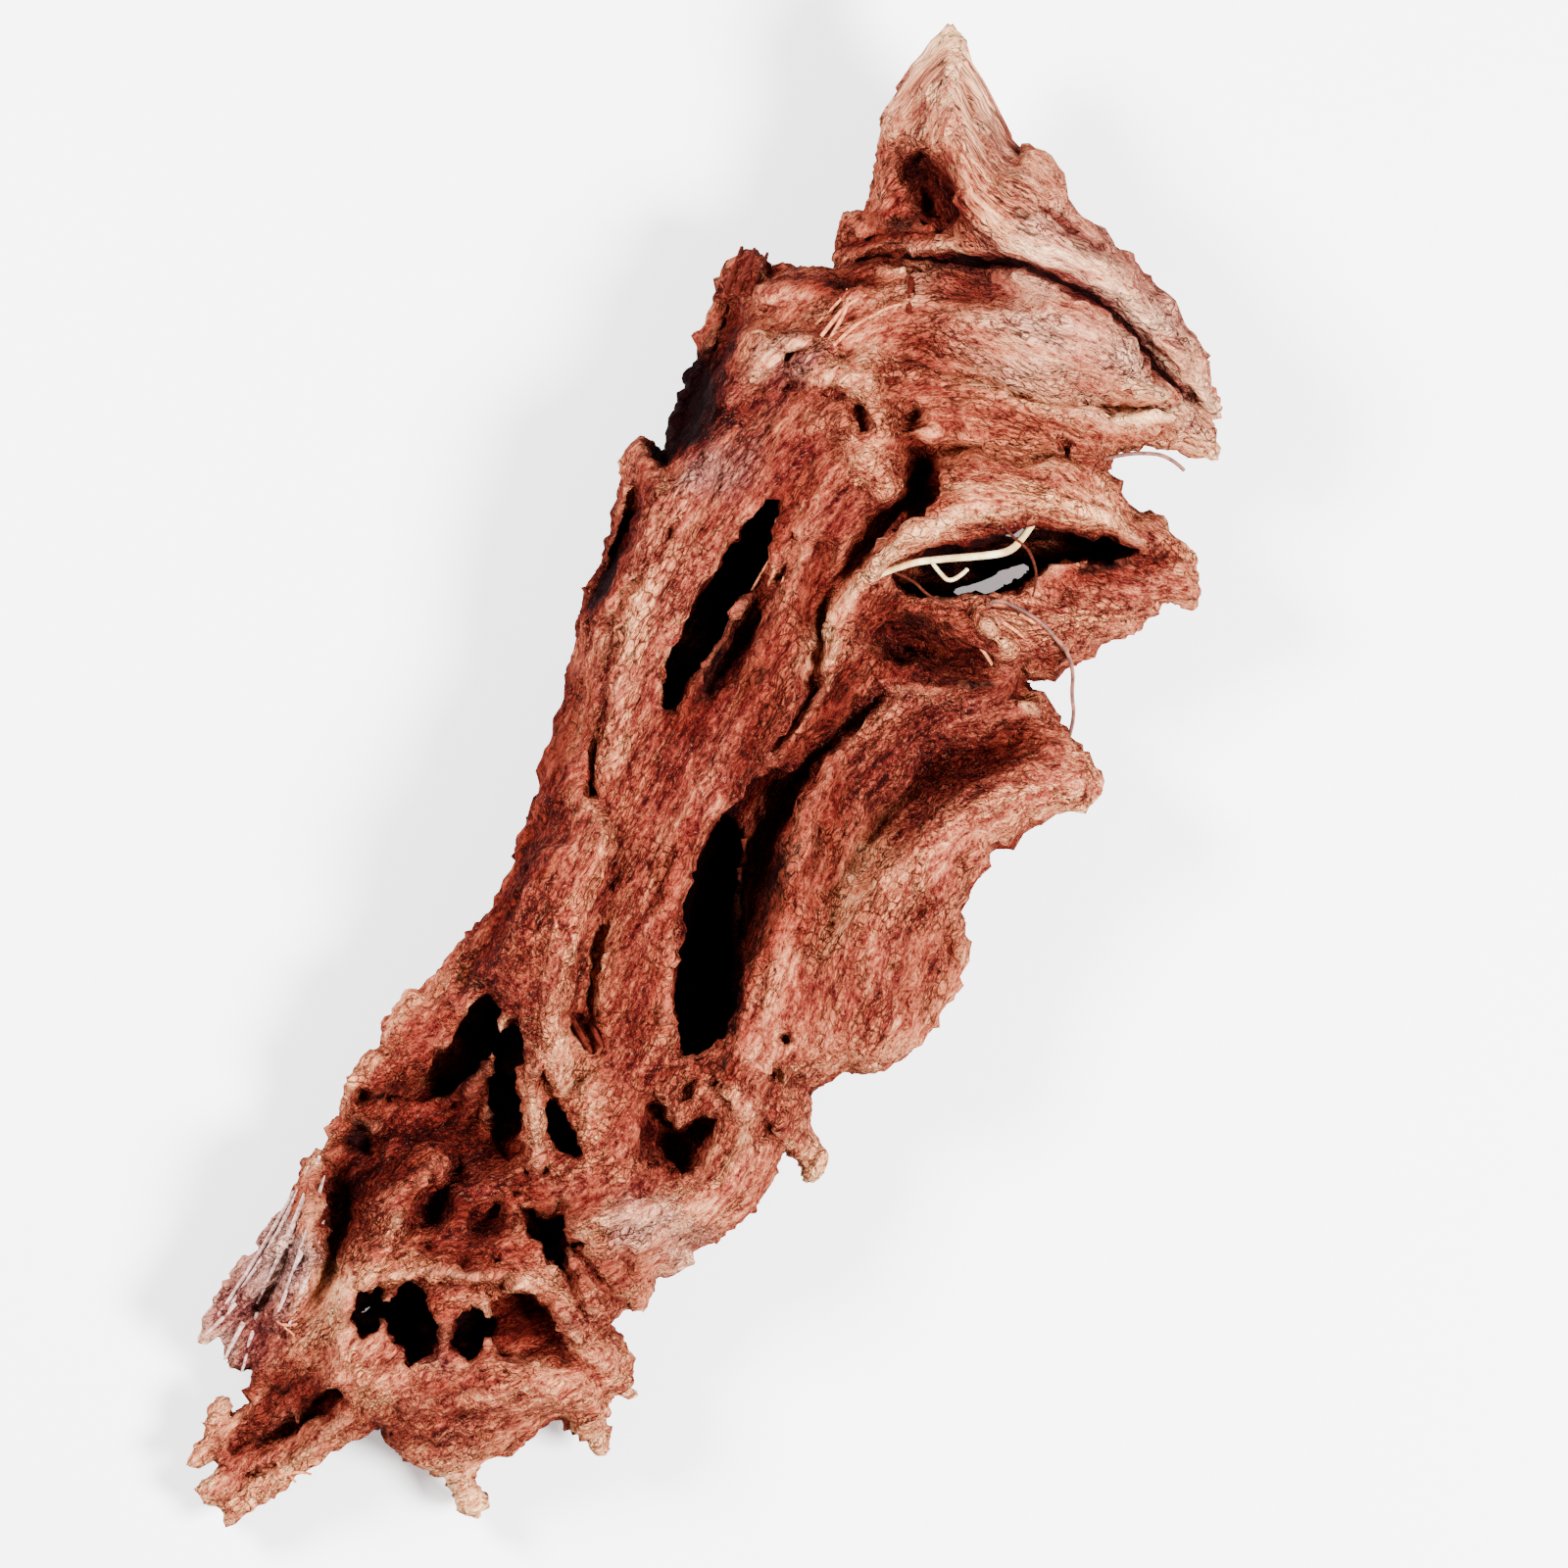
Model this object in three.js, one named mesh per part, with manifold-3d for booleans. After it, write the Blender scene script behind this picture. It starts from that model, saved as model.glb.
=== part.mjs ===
// A piece of mangrove driftwood: a weathered root buttress that lies on its back, with the
// dried rootlets that are caught in its arched slot.
//
// The wood grew as one piece, so it is one solid. Its shape is a field that is positive inside
// the wood. The field comes from a plan of the piece, seen from above, with heights on it:
// crests carry the strands of wood, valleys and hollows take wood away.
// The plan's points are [across, down, height, half width], all in plan units.

import * as THREE from "three";
import { triTable } from "three/addons/objects/MarchingCubes.js";
import { SimplifyModifier } from "three/addons/modifiers/SimplifyModifier.js";
import { mergeVertices } from "three/addons/utils/BufferGeometryUtils.js";
import Module from "manifold-3d";

// Driving dimensions, in millimetres and degrees.
const LENGTH = 424.5;
const ROOTLET_GAP = 0.35;
const PLAN_TURN = 28;

// The same length on the plan gives the size of a plan unit, and the plan's centre is the origin.
const PLAN_LENGTH = 1698;
const UNIT = LENGTH / PLAN_LENGTH;
const PLAN_CENTRE = [751, 874];

// Sampling of the field, in plan units, and the number of triangles that is kept.
const CELL = 10;
const PLAN_BOX = { across: [174, 1266], down: [12, 1572], up: [-35, 345] };
const TRIANGLES = 10400;
const EDGE_MARGIN = 0.04;
const KNOT_MARGIN = 0.5;

// How the surface rounds off, in plan units. The outline grows a little, because the grid
// loses the thinnest tips.
const OUTLINE_GROWTH = 4;
const EDGE_ROUNDING = 34;
const MIDDLE_SOFTNESS = 30;
const FRONT_SOFTNESS = 36;
const CREST_DROP = 42;
const CREST_POWER = 1.3;
const CREST_BLEND = 14;
const HOLLOW_BLEND = 7;
const WELL_BLEND = 16;
const LEAST_WIDTH = 11;
const BACK_BODY = 40;

// The outline of the piece, clockwise from the tip.
const OUTLINE = [
  [968, 28], [980, 38], [988, 60], [999, 98], [1010, 120], [1029, 152], [1038, 163], [1046, 155],
  [1061, 158], [1070, 172], [1083, 195], [1094, 218], [1106, 232], [1124, 241], [1139, 261],
  [1158, 275], [1180, 298], [1198, 312], [1206, 335], [1221, 348], [1227, 367], [1232, 385],
  [1241, 406], [1245, 428], [1233, 426], [1239, 442], [1244, 468], [1222, 462], [1200, 452],
  [1163, 456], [1130, 466], [1127, 481], [1142, 503], [1158, 527], [1174, 530], [1192, 542],
  [1207, 557], [1217, 575], [1222, 595], [1220, 618], [1205, 620], [1196, 612], [1175, 622],
  [1160, 633], [1157, 641], [1135, 651], [1115, 662], [1095, 676], [1062, 694], [1048, 691],
  [1041, 678], [1043, 698], [1050, 706], [1062, 706], [1072, 722], [1081, 740], [1096, 758],
  [1111, 777], [1123, 803], [1116, 815], [1106, 827], [1080, 829], [1055, 838], [1030, 858],
  [1012, 864], [1006, 880], [991, 903], [990, 920], [980, 926], [985, 947], [984, 988], [966, 1020],
  [955, 1042], [940, 1060], [920, 1073], [900, 1088], [865, 1094], [822, 1110], [828, 1145],
  [831, 1168], [838, 1186], [832, 1201], [818, 1192], [806, 1180], [798, 1170], [788, 1200],
  [778, 1220], [765, 1236], [750, 1250], [730, 1264], [696, 1275], [710, 1289], [690, 1300],
  [668, 1301], [667, 1318], [655, 1338], [640, 1334], [629, 1342], [621, 1356], [637, 1368],
  [643, 1385], [642, 1405], [646, 1424], [632, 1425], [620, 1421], [618, 1438], [610, 1448],
  [617, 1468], [610, 1481], [598, 1468], [578, 1453], [560, 1451], [545, 1460], [528, 1468],
  [520, 1481], [500, 1487], [486, 1500], [483, 1515], [491, 1535], [484, 1552], [472, 1543],
  [462, 1526], [450, 1507], [440, 1499], [420, 1494], [405, 1483], [386, 1459], [365, 1470],
  [345, 1474], [330, 1482], [318, 1493], [300, 1510], [278, 1524], [262, 1533], [248, 1546],
  [232, 1556], [221, 1545], [207, 1535], [203, 1517], [214, 1512], [222, 1496], [214, 1495],
  [200, 1502], [193, 1494], [198, 1481], [210, 1465], [213, 1441], [228, 1431], [232, 1447],
  [242, 1445], [254, 1430], [259, 1410], [256, 1392], [244, 1400], [230, 1388], [224, 1363],
  [203, 1368], [210, 1345], [222, 1325], [234, 1312], [240, 1295], [258, 1285], [268, 1262],
  [280, 1243], [295, 1225], [307, 1202], [321, 1173], [331, 1178], [337, 1152], [347, 1140],
  [352, 1112], [372, 1080], [395, 1072], [397, 1045], [408, 1027], [420, 1016], [436, 1012],
  [452, 992], [468, 968], [488, 945], [506, 928], [513, 903], [522, 884], [530, 855], [544, 839],
  [552, 797], [564, 763], [576, 720], [586, 672], [593, 640], [598, 600], [608, 592], [620, 550],
  [629, 522], [640, 470], [648, 452], [655, 446], [663, 457], [680, 474], [684, 440], [692, 414],
  [702, 398], [704, 383], [713, 377], [714, 345], [721, 320], [728, 297], [738, 268], [758, 255],
  [777, 258], [785, 280], [800, 274], [853, 278], [853, 240], [858, 215], [882, 216], [889, 195],
  [894, 178], [895, 145], [902, 115], [918, 90], [930, 70], [945, 53],
];

// Heights of the middle of the wood, between its front and its back: [across, down, height].
const MIDDLE = [
  [968, 60, 175], [1040, 220, 190], [1060, 380, 175], [1225, 430, 125], [870, 240, 140],
  [760, 280, 100], [700, 420, 85], [655, 480, 110], [850, 450, 150], [605, 640, 110], [730, 620, 130],
  [960, 560, 135], [1200, 580, 135], [1080, 660, 95], [950, 660, 95], [1100, 800, 110],
  [880, 820, 120], [960, 970, 105], [640, 860, 130], [545, 860, 120], [720, 1030, 120],
  [850, 1080, 110], [830, 1180, 95], [470, 970, 120], [560, 1080, 125], [400, 1060, 120],
  [340, 1170, 95], [440, 1200, 110], [760, 1200, 110], [640, 1250, 115], [700, 1290, 95],
  [230, 1340, 90], [330, 1340, 100], [450, 1360, 100], [640, 1400, 95], [560, 1400, 100],
  [450, 1470, 85], [485, 1540, 55], [612, 1472, 65], [330, 1460, 80], [205, 1490, 65],
  [230, 1530, 60],
];

// Ridges on the front: [across, down, height, half width], or with a half width on the left of
// the way and another on its right.
const CRESTS = {
  headRidge: [
    [968, 34, 205, 24, 22], [966, 95, 250, 44, 46], [974, 150, 274, 50, 34], [996, 206, 292, 50, 20],
    [1034, 246, 296, 60, 26], [1100, 275, 288, 44, 40], [1180, 330, 254, 34, 40],
    [1232, 408, 188, 16, 26],
  ],
  headLeftFace: [[932, 80, 218, 24], [914, 120, 222, 24], [904, 150, 206, 16]],
  broadFace: [[1010, 330, 262, 50], [1090, 350, 280, 70], [1150, 380, 256, 46], [1205, 430, 196, 26]],
  underBand: [[950, 436, 238, 34], [1040, 440, 238, 30], [1100, 452, 216, 26], [1156, 446, 190, 16]],
  lowestBand: [[985, 484, 214, 22], [1050, 482, 208, 20], [1112, 486, 190, 16]],
  brokenSpike: [[768, 258, 124, 12], [746, 300, 138, 16], [728, 350, 128, 14], [708, 395, 84, 10]],
  shoulder: [[790, 296, 206, 34], [850, 300, 222, 30], [905, 318, 240, 28]],
  knotLeft: [[748, 402, 220, 34], [786, 368, 246, 34], [818, 352, 240, 22]],
  knotRight: [[838, 378, 262, 34], [878, 400, 274, 30], [898, 440, 268, 26]],
  tongue: [[858, 436, 266, 40, 40], [886, 468, 278, 30, 46], [914, 508, 262, 12, 26]],
  leftStrand: [
    [748, 446, 226, 40], [700, 500, 244, 46], [672, 566, 250, 46], [645, 650, 238, 44],
    [628, 740, 230, 40], [620, 820, 226, 30],
  ],
  leftSpike: [[654, 450, 140, 12], [646, 500, 176, 16], [634, 548, 190, 14]],
  leftEdge: [[600, 610, 150, 10], [602, 660, 176, 16], [594, 720, 180, 16], [580, 780, 172, 14]],
  middleStrand: [
    [846, 484, 250, 34], [832, 560, 246, 44], [800, 660, 240, 46], [752, 750, 238, 44],
    [714, 830, 236, 22, 50], [692, 890, 232, 10, 54], [684, 980, 226, 8, 50],
    [678, 1044, 210, 10, 26], [681, 1080, 188, 6, 10],
  ],
  leftLowStrand: [
    [640, 880, 222, 44], [628, 980, 214, 50], [618, 1090, 212, 50], [600, 1180, 206, 44],
  ],
  archBand: [
    [842, 700, 226, 30, 20], [848, 634, 244, 34, 20], [872, 588, 262, 44, 18],
    [930, 548, 272, 50, 18], [1000, 518, 268, 50, 26], [1070, 514, 260, 40, 22],
    [1130, 534, 238, 24, 14], [1164, 556, 212, 14, 9],
  ],
  jawPiece: [[1004, 634, 206, 18], [1050, 640, 200, 26], [1105, 628, 182, 26], [1152, 612, 168, 20]],
  jawHook: [[1172, 540, 186, 14], [1206, 572, 180, 14], [1206, 604, 166, 12], [1160, 594, 172, 12]],
  bowlRim: [
    [880, 706, 212, 14, 24], [950, 706, 204, 12, 22], [1012, 697, 190, 10, 18], [1042, 690, 176, 9],
  ],
  fanTop: [[1046, 712, 176, 12], [1080, 748, 156, 12]],
  fanRim: [
    [1112, 806, 160, 16, 26], [1040, 814, 196, 24, 44], [970, 850, 208, 34, 60],
    [915, 915, 214, 50, 70], [880, 1000, 214, 60, 70], [840, 1066, 200, 60, 50],
  ],
  fanRib: [
    [838, 772, 206, 30, 24], [812, 850, 210, 40, 26], [796, 930, 212, 50, 24],
    [780, 1040, 210, 60, 16],
  ],
  sharpFin: [
    [602, 820, 246, 10, 34], [616, 858, 264, 10, 70], [600, 915, 262, 10, 90],
    [584, 975, 256, 10, 84], [571, 1040, 248, 11, 44], [574, 1108, 226, 14, 16],
  ],
  caveRib: [[502, 1046, 190, 10, 12], [486, 1090, 172, 12, 14], [476, 1140, 140, 22, 22]],
  cavePillar: [
    [562, 1030, 236, 14, 16], [552, 1080, 224, 14, 12], [542, 1130, 208, 14, 10],
    [548, 1190, 194, 26, 18],
  ],
  scoopEdge: [[366, 1098, 150, 12], [352, 1138, 142, 10], [384, 1152, 150, 12]],
  diagonalRidge: [
    [446, 1186, 178, 16, 22], [412, 1238, 188, 18, 34], [384, 1290, 192, 20, 30],
    [360, 1330, 186, 22, 16], [350, 1400, 168, 24, 26],
  ],
  flake: [
    [321, 1176, 158, 12, 12], [318, 1236, 166, 12, 36], [322, 1290, 166, 16, 46],
    [296, 1340, 150, 30, 30],
  ],
  flakeFace: [[286, 1262, 146, 16], [250, 1316, 126, 16], [214, 1356, 98, 9], [246, 1388, 100, 10]],
  caveBrow: [
    [366, 1318, 188, 20, 10], [404, 1298, 198, 30, 10], [460, 1302, 202, 34, 10],
    [520, 1300, 202, 36, 12], [566, 1322, 200, 36, 14], [594, 1364, 192, 30, 16],
    [628, 1404, 160, 24, 18],
  ],
  caveSill: [
    [372, 1400, 178, 22, 34], [440, 1402, 188, 18, 44], [520, 1404, 188, 28, 44],
    [590, 1412, 176, 26, 34],
  ],
  baseLobe: [[402, 1456, 130, 24], [455, 1458, 142, 30], [530, 1438, 148, 26], [592, 1434, 138, 20]],
  baseSpikeLeft: [[468, 1492, 108, 14], [484, 1544, 70, 6]],
  baseSpikeRight: [[594, 1448, 112, 11], [611, 1472, 80, 6]],
  armRim: [
    [352, 1442, 154, 14], [322, 1484, 124, 14, 24], [268, 1524, 98, 14, 20], [234, 1548, 80, 12],
  ],
  armBack: [[322, 1406, 120, 8], [284, 1440, 108, 7], [232, 1452, 92, 7], [208, 1490, 78, 8]],
  lowerRidge: [[726, 1224, 204, 16, 26], [650, 1236, 226, 16, 26], [588, 1246, 222, 14, 22]],
  roundLobe: [
    [742, 1108, 206, 34, 18], [768, 1156, 200, 44, 16], [744, 1206, 194, 40, 16],
    [696, 1244, 188, 26, 16],
  ],
  underLobe: [[600, 1300, 178, 20], [650, 1292, 164, 16], [702, 1288, 132, 7]],
  sideLobe: [[600, 1336, 188, 16], [642, 1330, 156, 12]],
  sideHorn: [[798, 1084, 202, 16], [810, 1128, 178, 12], [821, 1164, 152, 9], [831, 1192, 118, 6]],
};

// Strands on the back, which faces down. The three lowest places are the feet.
const KEELS = {
  spine: [
    [966, 80, 150, 40], [945, 230, 70, 60], [925, 350, -16, 58], [880, 470, 52, 66],
    [800, 600, 40, 70], [720, 740, 52, 70], [640, 880, 38, 72], [560, 1010, 48, 70],
    [480, 1150, 32, 66], [420, 1290, -16, 56], [392, 1380, 42, 56], [310, 1456, 40, 40],
    [232, 1528, 34, 26],
  ],
  head: [[1205, 410, 96, 40], [1090, 345, 56, 62], [1000, 430, 58, 56], [960, 545, 62, 52]],
  jaw: [[960, 560, 66, 40], [1070, 590, 66, 40], [1185, 585, 96, 28]],
  fan: [
    [1090, 790, 84, 34], [985, 845, 42, 52], [900, 935, -16, 54], [860, 1030, 42, 54],
    [775, 1110, 52, 54], [720, 1200, 54, 48], [640, 1300, 62, 42], [565, 1392, 52, 44],
    [470, 1458, 46, 34],
  ],
  leftSide: [
    [606, 680, 88, 26], [575, 800, 84, 28], [498, 950, 80, 34], [404, 1080, 80, 34],
    [340, 1215, 66, 30], [262, 1322, 60, 24],
  ],
  belly: [
    [830, 470, 60, 90], [790, 620, 52, 90], [760, 780, 48, 92], [735, 960, 48, 96],
    [700, 1130, 54, 88],
  ],
  underFan: [[800, 800, 66, 60], [920, 790, 72, 50], [1030, 770, 80, 40]],
};

// Valleys and ledges on the front: [across, down, depth, half width], or with two half widths.
// A ledge is a valley with one side much narrower than the other.
const VALLEYS = {
  leftOfHeadRidge: [
    [905, 160, 24, 22], [938, 188, 56, 36], [955, 214, 72, 40, 34], [966, 230, 60, 20, 18],
  ],
  underHeadCrack: [
    [880, 284, 10, 6, 24], [960, 286, 26, 6, 36], [1010, 288, 32, 6, 42], [1060, 296, 12, 6, 26],
  ],
  faceFoot: [
    [910, 362, 14, 26, 8], [985, 392, 34, 34, 7], [1060, 408, 34, 34, 7], [1130, 424, 30, 26, 7],
    [1200, 420, 16, 14, 6],
  ],
  bandFoot: [[930, 462, 24, 24, 8], [1000, 466, 26, 18, 7], [1090, 474, 20, 14, 6]],
  underTongue: [
    [936, 470, 40, 14, 20], [938, 510, 66, 14, 26], [900, 540, 62, 20, 22], [862, 580, 52, 26, 16],
    [836, 640, 36, 26, 14],
  ],
  behindArch: [[838, 560, 26, 20], [826, 620, 34, 22], [826, 690, 30, 22]],
  besideMiddle: [
    [900, 712, 26, 20], [850, 748, 44, 22], [806, 796, 58, 26, 24], [774, 850, 84, 36, 40],
    [762, 905, 96, 38, 20], [756, 965, 74, 26, 16],
  ],
  fanTrough: [
    [1076, 738, 20, 18, 22], [1020, 758, 40, 40, 34], [960, 786, 46, 44, 38], [905, 834, 44, 40, 38],
    [866, 892, 30, 32, 34], [838, 960, 16, 24, 28],
  ],
  slotSlope: [[800, 560, 30, 30, 14], [766, 622, 36, 34, 14], [728, 690, 26, 28, 12]],
  leftCrease: [
    [640, 600, 14, 14, 10], [628, 660, 16, 14, 10], [612, 740, 14, 14, 12], [602, 806, 46, 12, 9],
  ],
  behindSpike: [[744, 318, 44, 16], [722, 380, 64, 22], [700, 430, 70, 20], [688, 462, 50, 12]],
  pocket: [[648, 500, 50, 10, 12], [634, 556, 80, 10, 14], [616, 604, 70, 12, 12]],
  bowl: [
    [884, 650, 46, 26, 24], [930, 656, 84, 40, 36], [975, 668, 66, 34, 26], [1010, 680, 34, 18, 14],
  ],
  finValley: [
    [550, 836, 34, 12, 14], [534, 880, 46, 20], [514, 930, 44, 20], [496, 975, 34, 18],
    [470, 1004, 20, 12],
  ],
  scoop: [[378, 1166, 26, 26], [356, 1210, 34, 30], [348, 1256, 26, 22], [336, 1300, 14, 14]],
  caveFloor: [[410, 1136, 16, 30], [460, 1140, 26, 34], [510, 1170, 26, 26]],
  bottomBowl: [[664, 1132, 50, 22], [676, 1162, 84, 33], [700, 1172, 84, 33], [722, 1148, 60, 20]],
  lowerScoop: [[510, 1372, 30, 18], [548, 1376, 44, 20], [576, 1386, 30, 14]],
  armChannel: [[336, 1440, 36, 14], [284, 1462, 34, 16], [236, 1484, 22, 12]],
  sideValley: [[640, 1276, 30, 10, 14], [700, 1262, 22, 8, 10]],
  underRidge: [[590, 1270, 26, 8, 14], [618, 1318, 26, 12], [650, 1350, 20, 10]],
};

// Hollows inside the wood: [across, down, height, radius]. tall stretches a hollow upward.
const HOLLOWS = [
  { name: "slotUndercut", tall: 1.1, way: [[766, 590, 120, 28], [716, 662, 114, 26]] },
  { name: "canyonUndercut", tall: 1.1, way: [[726, 900, 112, 30], [720, 1030, 110, 34]] },
  { name: "archCave", tall: 1.0, way: [[985, 560, 125, 38], [1070, 552, 128, 38]] },
  { name: "archWayOut", tall: 6, way: [[975, 604, 60, 9], [1012, 596, 60, 9], [1046, 581, 60, 9]] },
  { name: "knotHole", tall: 1.6, way: [[588, 1040, 196, 10], [606, 1060, 206, 12]] },
  { name: "scoopCave", tall: 1.2, way: [[346, 1178, 104, 17], [374, 1186, 108, 17]] },
  { name: "browSideCave", tall: 2.2, way: [[374, 1338, 140, 15]] },
  { name: "browSideWayOut", tall: 8, way: [[372, 1340, 60, 7]] },
  { name: "thirdCave", tall: 0.8, way: [[530, 1352, 172, 20], [566, 1372, 168, 18]] },
  { name: "upperPit", tall: 1.8, way: [[440, 1204, 156, 9], [446, 1240, 150, 13]] },
  { name: "lowerPit", tall: 1.8, way: [[492, 1246, 154, 12], [502, 1240, 150, 12]] },
  { name: "armHole", tall: 1.5, way: [[326, 1434, 120, 13], [344, 1422, 130, 11]] },
  { name: "armMouth", tall: 1.5, way: [[270, 1418, 105, 13]] },
];

// Heights of the front: [across, down, height].
const FRONT = [
  [966, 50, 200], [925, 120, 212], [985, 150, 252], [945, 200, 226], [1030, 200, 262],
  [1080, 235, 262], [870, 245, 168], [930, 262, 205], [1140, 300, 255], [1190, 350, 222],
  [940, 310, 240], [1010, 345, 252], [1090, 350, 268], [1160, 400, 240], [1215, 440, 170],
  [960, 405, 226], [1040, 425, 226], [1120, 445, 200], [765, 275, 110], [740, 350, 90],
  [702, 410, 70], [800, 300, 200], [860, 315, 226], [800, 375, 236], [865, 400, 258], [905, 460, 256],
  [735, 435, 214], [655, 470, 120], [612, 590, 130], [600, 700, 160], [690, 500, 226],
  [740, 500, 226], [680, 600, 236], [650, 720, 226], [625, 800, 216], [800, 470, 238],
  [840, 520, 236], [810, 620, 226], [770, 720, 224], [715, 790, 224], [680, 870, 222],
  [900, 510, 226], [960, 490, 212], [880, 560, 240], [860, 660, 222], [1000, 515, 250],
  [1090, 500, 232], [1160, 545, 196], [1205, 590, 160], [1120, 610, 166], [1040, 640, 176],
  [930, 650, 172], [985, 690, 182], [900, 700, 204], [830, 720, 206], [960, 760, 152],
  [1050, 735, 150], [890, 800, 166], [850, 870, 180], [1040, 810, 182], [970, 880, 194],
  [900, 950, 204], [975, 980, 150], [850, 1040, 196], [795, 960, 206], [770, 1060, 206],
  [640, 900, 212], [650, 1000, 208], [660, 1100, 200], [610, 1180, 202], [590, 880, 214],
  [540, 930, 200], [480, 1000, 172], [430, 1050, 156], [560, 1040, 210], [560, 1120, 190],
  [430, 1150, 112], [380, 1170, 118], [480, 1170, 120], [350, 1230, 104], [320, 1300, 130],
  [275, 1290, 130], [235, 1350, 98], [400, 1260, 166], [450, 1250, 168], [520, 1240, 176],
  [560, 1290, 178], [380, 1370, 168], [460, 1330, 184], [560, 1340, 188], [450, 1405, 172],
  [560, 1400, 168], [640, 1400, 140], [450, 1460, 120], [485, 1530, 76], [600, 1445, 120],
  [300, 1450, 92], [250, 1500, 80], [210, 1500, 70], [340, 1420, 130], [700, 1170, 176],
  [760, 1180, 184], [700, 1245, 186], [620, 1250, 202], [640, 1310, 158], [700, 1290, 132],
  [820, 1150, 150], [830, 1195, 112],
];

// Steep hollows in the front, each with the outline of its mouth and the height of its floor.
const WELLS = {
  slot: {
    floor: 96,
    outline: [
      [798, 512], [782, 508], [766, 528], [752, 545], [738, 562], [722, 592], [704, 622], [690, 648],
      [677, 672], [672, 708], [680, 730], [692, 732], [702, 712], [712, 686], [724, 668], [738, 648],
      [744, 622], [772, 602], [784, 576], [790, 550], [800, 530],
    ],
  },
  canyon: {
    floor: 92,
    outline: [
      [736, 833], [724, 848], [704, 890], [696, 929], [687, 979], [683, 1008], [685, 1040],
      [690, 1075], [712, 1078], [735, 1060], [742, 1030], [746, 990], [744, 950], [748, 910],
      [756, 870], [758, 848], [748, 836],
    ],
  },
  headRecess: {
    floor: 196,
    outline: [
      [894, 166], [912, 158], [940, 166], [957, 178], [974, 197], [981, 222], [968, 236], [940, 235],
      [912, 232], [894, 222], [889, 204], [890, 185],
    ],
  },
  besideTongue: {
    floor: 200,
    outline: [
      [934, 446], [950, 456], [962, 476], [961, 506], [948, 528], [926, 542], [908, 548], [922, 524],
      [932, 500], [926, 474],
    ],
  },
  thirdHollow: {
    floor: 126,
    outline: [
      [502, 1324], [530, 1318], [558, 1330], [574, 1350], [577, 1376], [560, 1384], [530, 1386],
      [508, 1382], [500, 1356],
    ],
  },
  scoopHollow: {
    floor: 106,
    outline: [
      [334, 1156], [352, 1147], [370, 1154], [378, 1177], [370, 1204], [352, 1218], [338, 1208],
      [330, 1184],
    ],
  },
  canyonSide: {
    floor: 146,
    outline: [
      [736, 830], [762, 800], [790, 782], [816, 790], [802, 826], [784, 876], [774, 922], [763, 968],
      [758, 1008], [749, 1050], [732, 1062], [728, 1000], [730, 900],
    ],
  },
  archSlot: {
    floor: 104,
    outline: [
      [905, 590], [922, 573], [945, 561], [980, 556], [1002, 556], [1016, 544], [1042, 537],
      [1070, 535], [1096, 543], [1122, 548], [1150, 556], [1164, 564], [1132, 575], [1102, 573],
      [1068, 577], [1056, 592], [1040, 605], [1000, 608], [960, 611], [925, 606],
    ],
  },
  fingerCave: {
    floor: 84,
    outline: [
      [502, 1016], [484, 1024], [470, 1048], [458, 1074], [444, 1074], [438, 1096], [408, 1102],
      [403, 1094], [396, 1102], [396, 1118], [430, 1122], [462, 1112], [488, 1090], [508, 1062],
      [512, 1030],
    ],
  },
  tallCave: {
    floor: 84,
    outline: [
      [528, 1040], [514, 1052], [506, 1080], [502, 1120], [506, 1160], [516, 1180], [530, 1174],
      [536, 1140], [529, 1108], [537, 1078], [541, 1052],
    ],
  },
  finCave: {
    floor: 96,
    outline: [
      [561, 1116], [554, 1132], [564, 1160], [577, 1181], [596, 1180], [592, 1158], [580, 1136],
      [571, 1119],
    ],
  },
  browCave: {
    floor: 82,
    outline: [
      [417, 1304], [402, 1318], [394, 1344], [400, 1368], [410, 1378], [418, 1394], [428, 1388],
      [446, 1378], [450, 1362], [444, 1340], [436, 1322],
    ],
  },
  browCaveLeft: {
    floor: 70,
    outline: [
      [386, 1308], [364, 1316], [360, 1340], [370, 1362], [386, 1356], [392, 1328],
    ],
  },
  secondCave: {
    floor: 92,
    outline: [
      [480, 1330], [464, 1346], [462, 1370], [478, 1388], [494, 1378], [501, 1352], [494, 1336],
    ],
  },
  thirdCave: {
    floor: 120,
    outline: [
      [530, 1338], [552, 1342], [570, 1354], [576, 1370], [566, 1368], [548, 1352], [534, 1350],
    ],
  },
  cleft: {
    floor: 90,
    outline: [
      [528, 1226], [540, 1232], [556, 1246], [574, 1240], [584, 1252], [578, 1272], [572, 1296],
      [556, 1282], [540, 1258],
    ],
  },
};

// Dried rootlets: [across, down, height, radius] along each way.
const ROOTLETS = {
  pale_rootlet: {
    colour: 0xd9c08a,
    ways: [
      [[896, 588, 236, 5], [925, 576, 238, 5], [960, 572, 234, 5], [1000, 569, 229, 5.4],
        [1030, 565, 224, 5.4], [1043, 549, 218, 5.4], [1056, 530, 212, 5.4], [1062, 512, 208, 5.4]],
      [[948, 573, 235, 3], [956, 584, 228, 3], [970, 598, 220, 3], [986, 582, 212, 3]],
    ],
  },
  hanging_rootlet: {
    colour: 0x6d3526,
    ways: [
      [[1004, 638, 140, 3], [1006, 620, 190, 3], [1016, 612, 204, 3], [1040, 622, 203, 3],
        [1062, 636, 199, 3], [1076, 652, 190, 3], [1089, 666, 176, 3], [1095, 688, 152, 3],
        [1093, 708, 134, 3], [1097, 732, 118, 3], [1091, 752, 106, 3]],
    ],
  },
  edge_rootlet: {
    colour: 0x7a4534,
    ways: [
      [[1104, 474, 172, 3], [1130, 468, 178, 3], [1160, 463, 182, 3], [1192, 466, 178, 3],
        [1207, 481, 170, 3]],
    ],
  },
};

const WOOD_COLOUR = 0xa65a3f;

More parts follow.
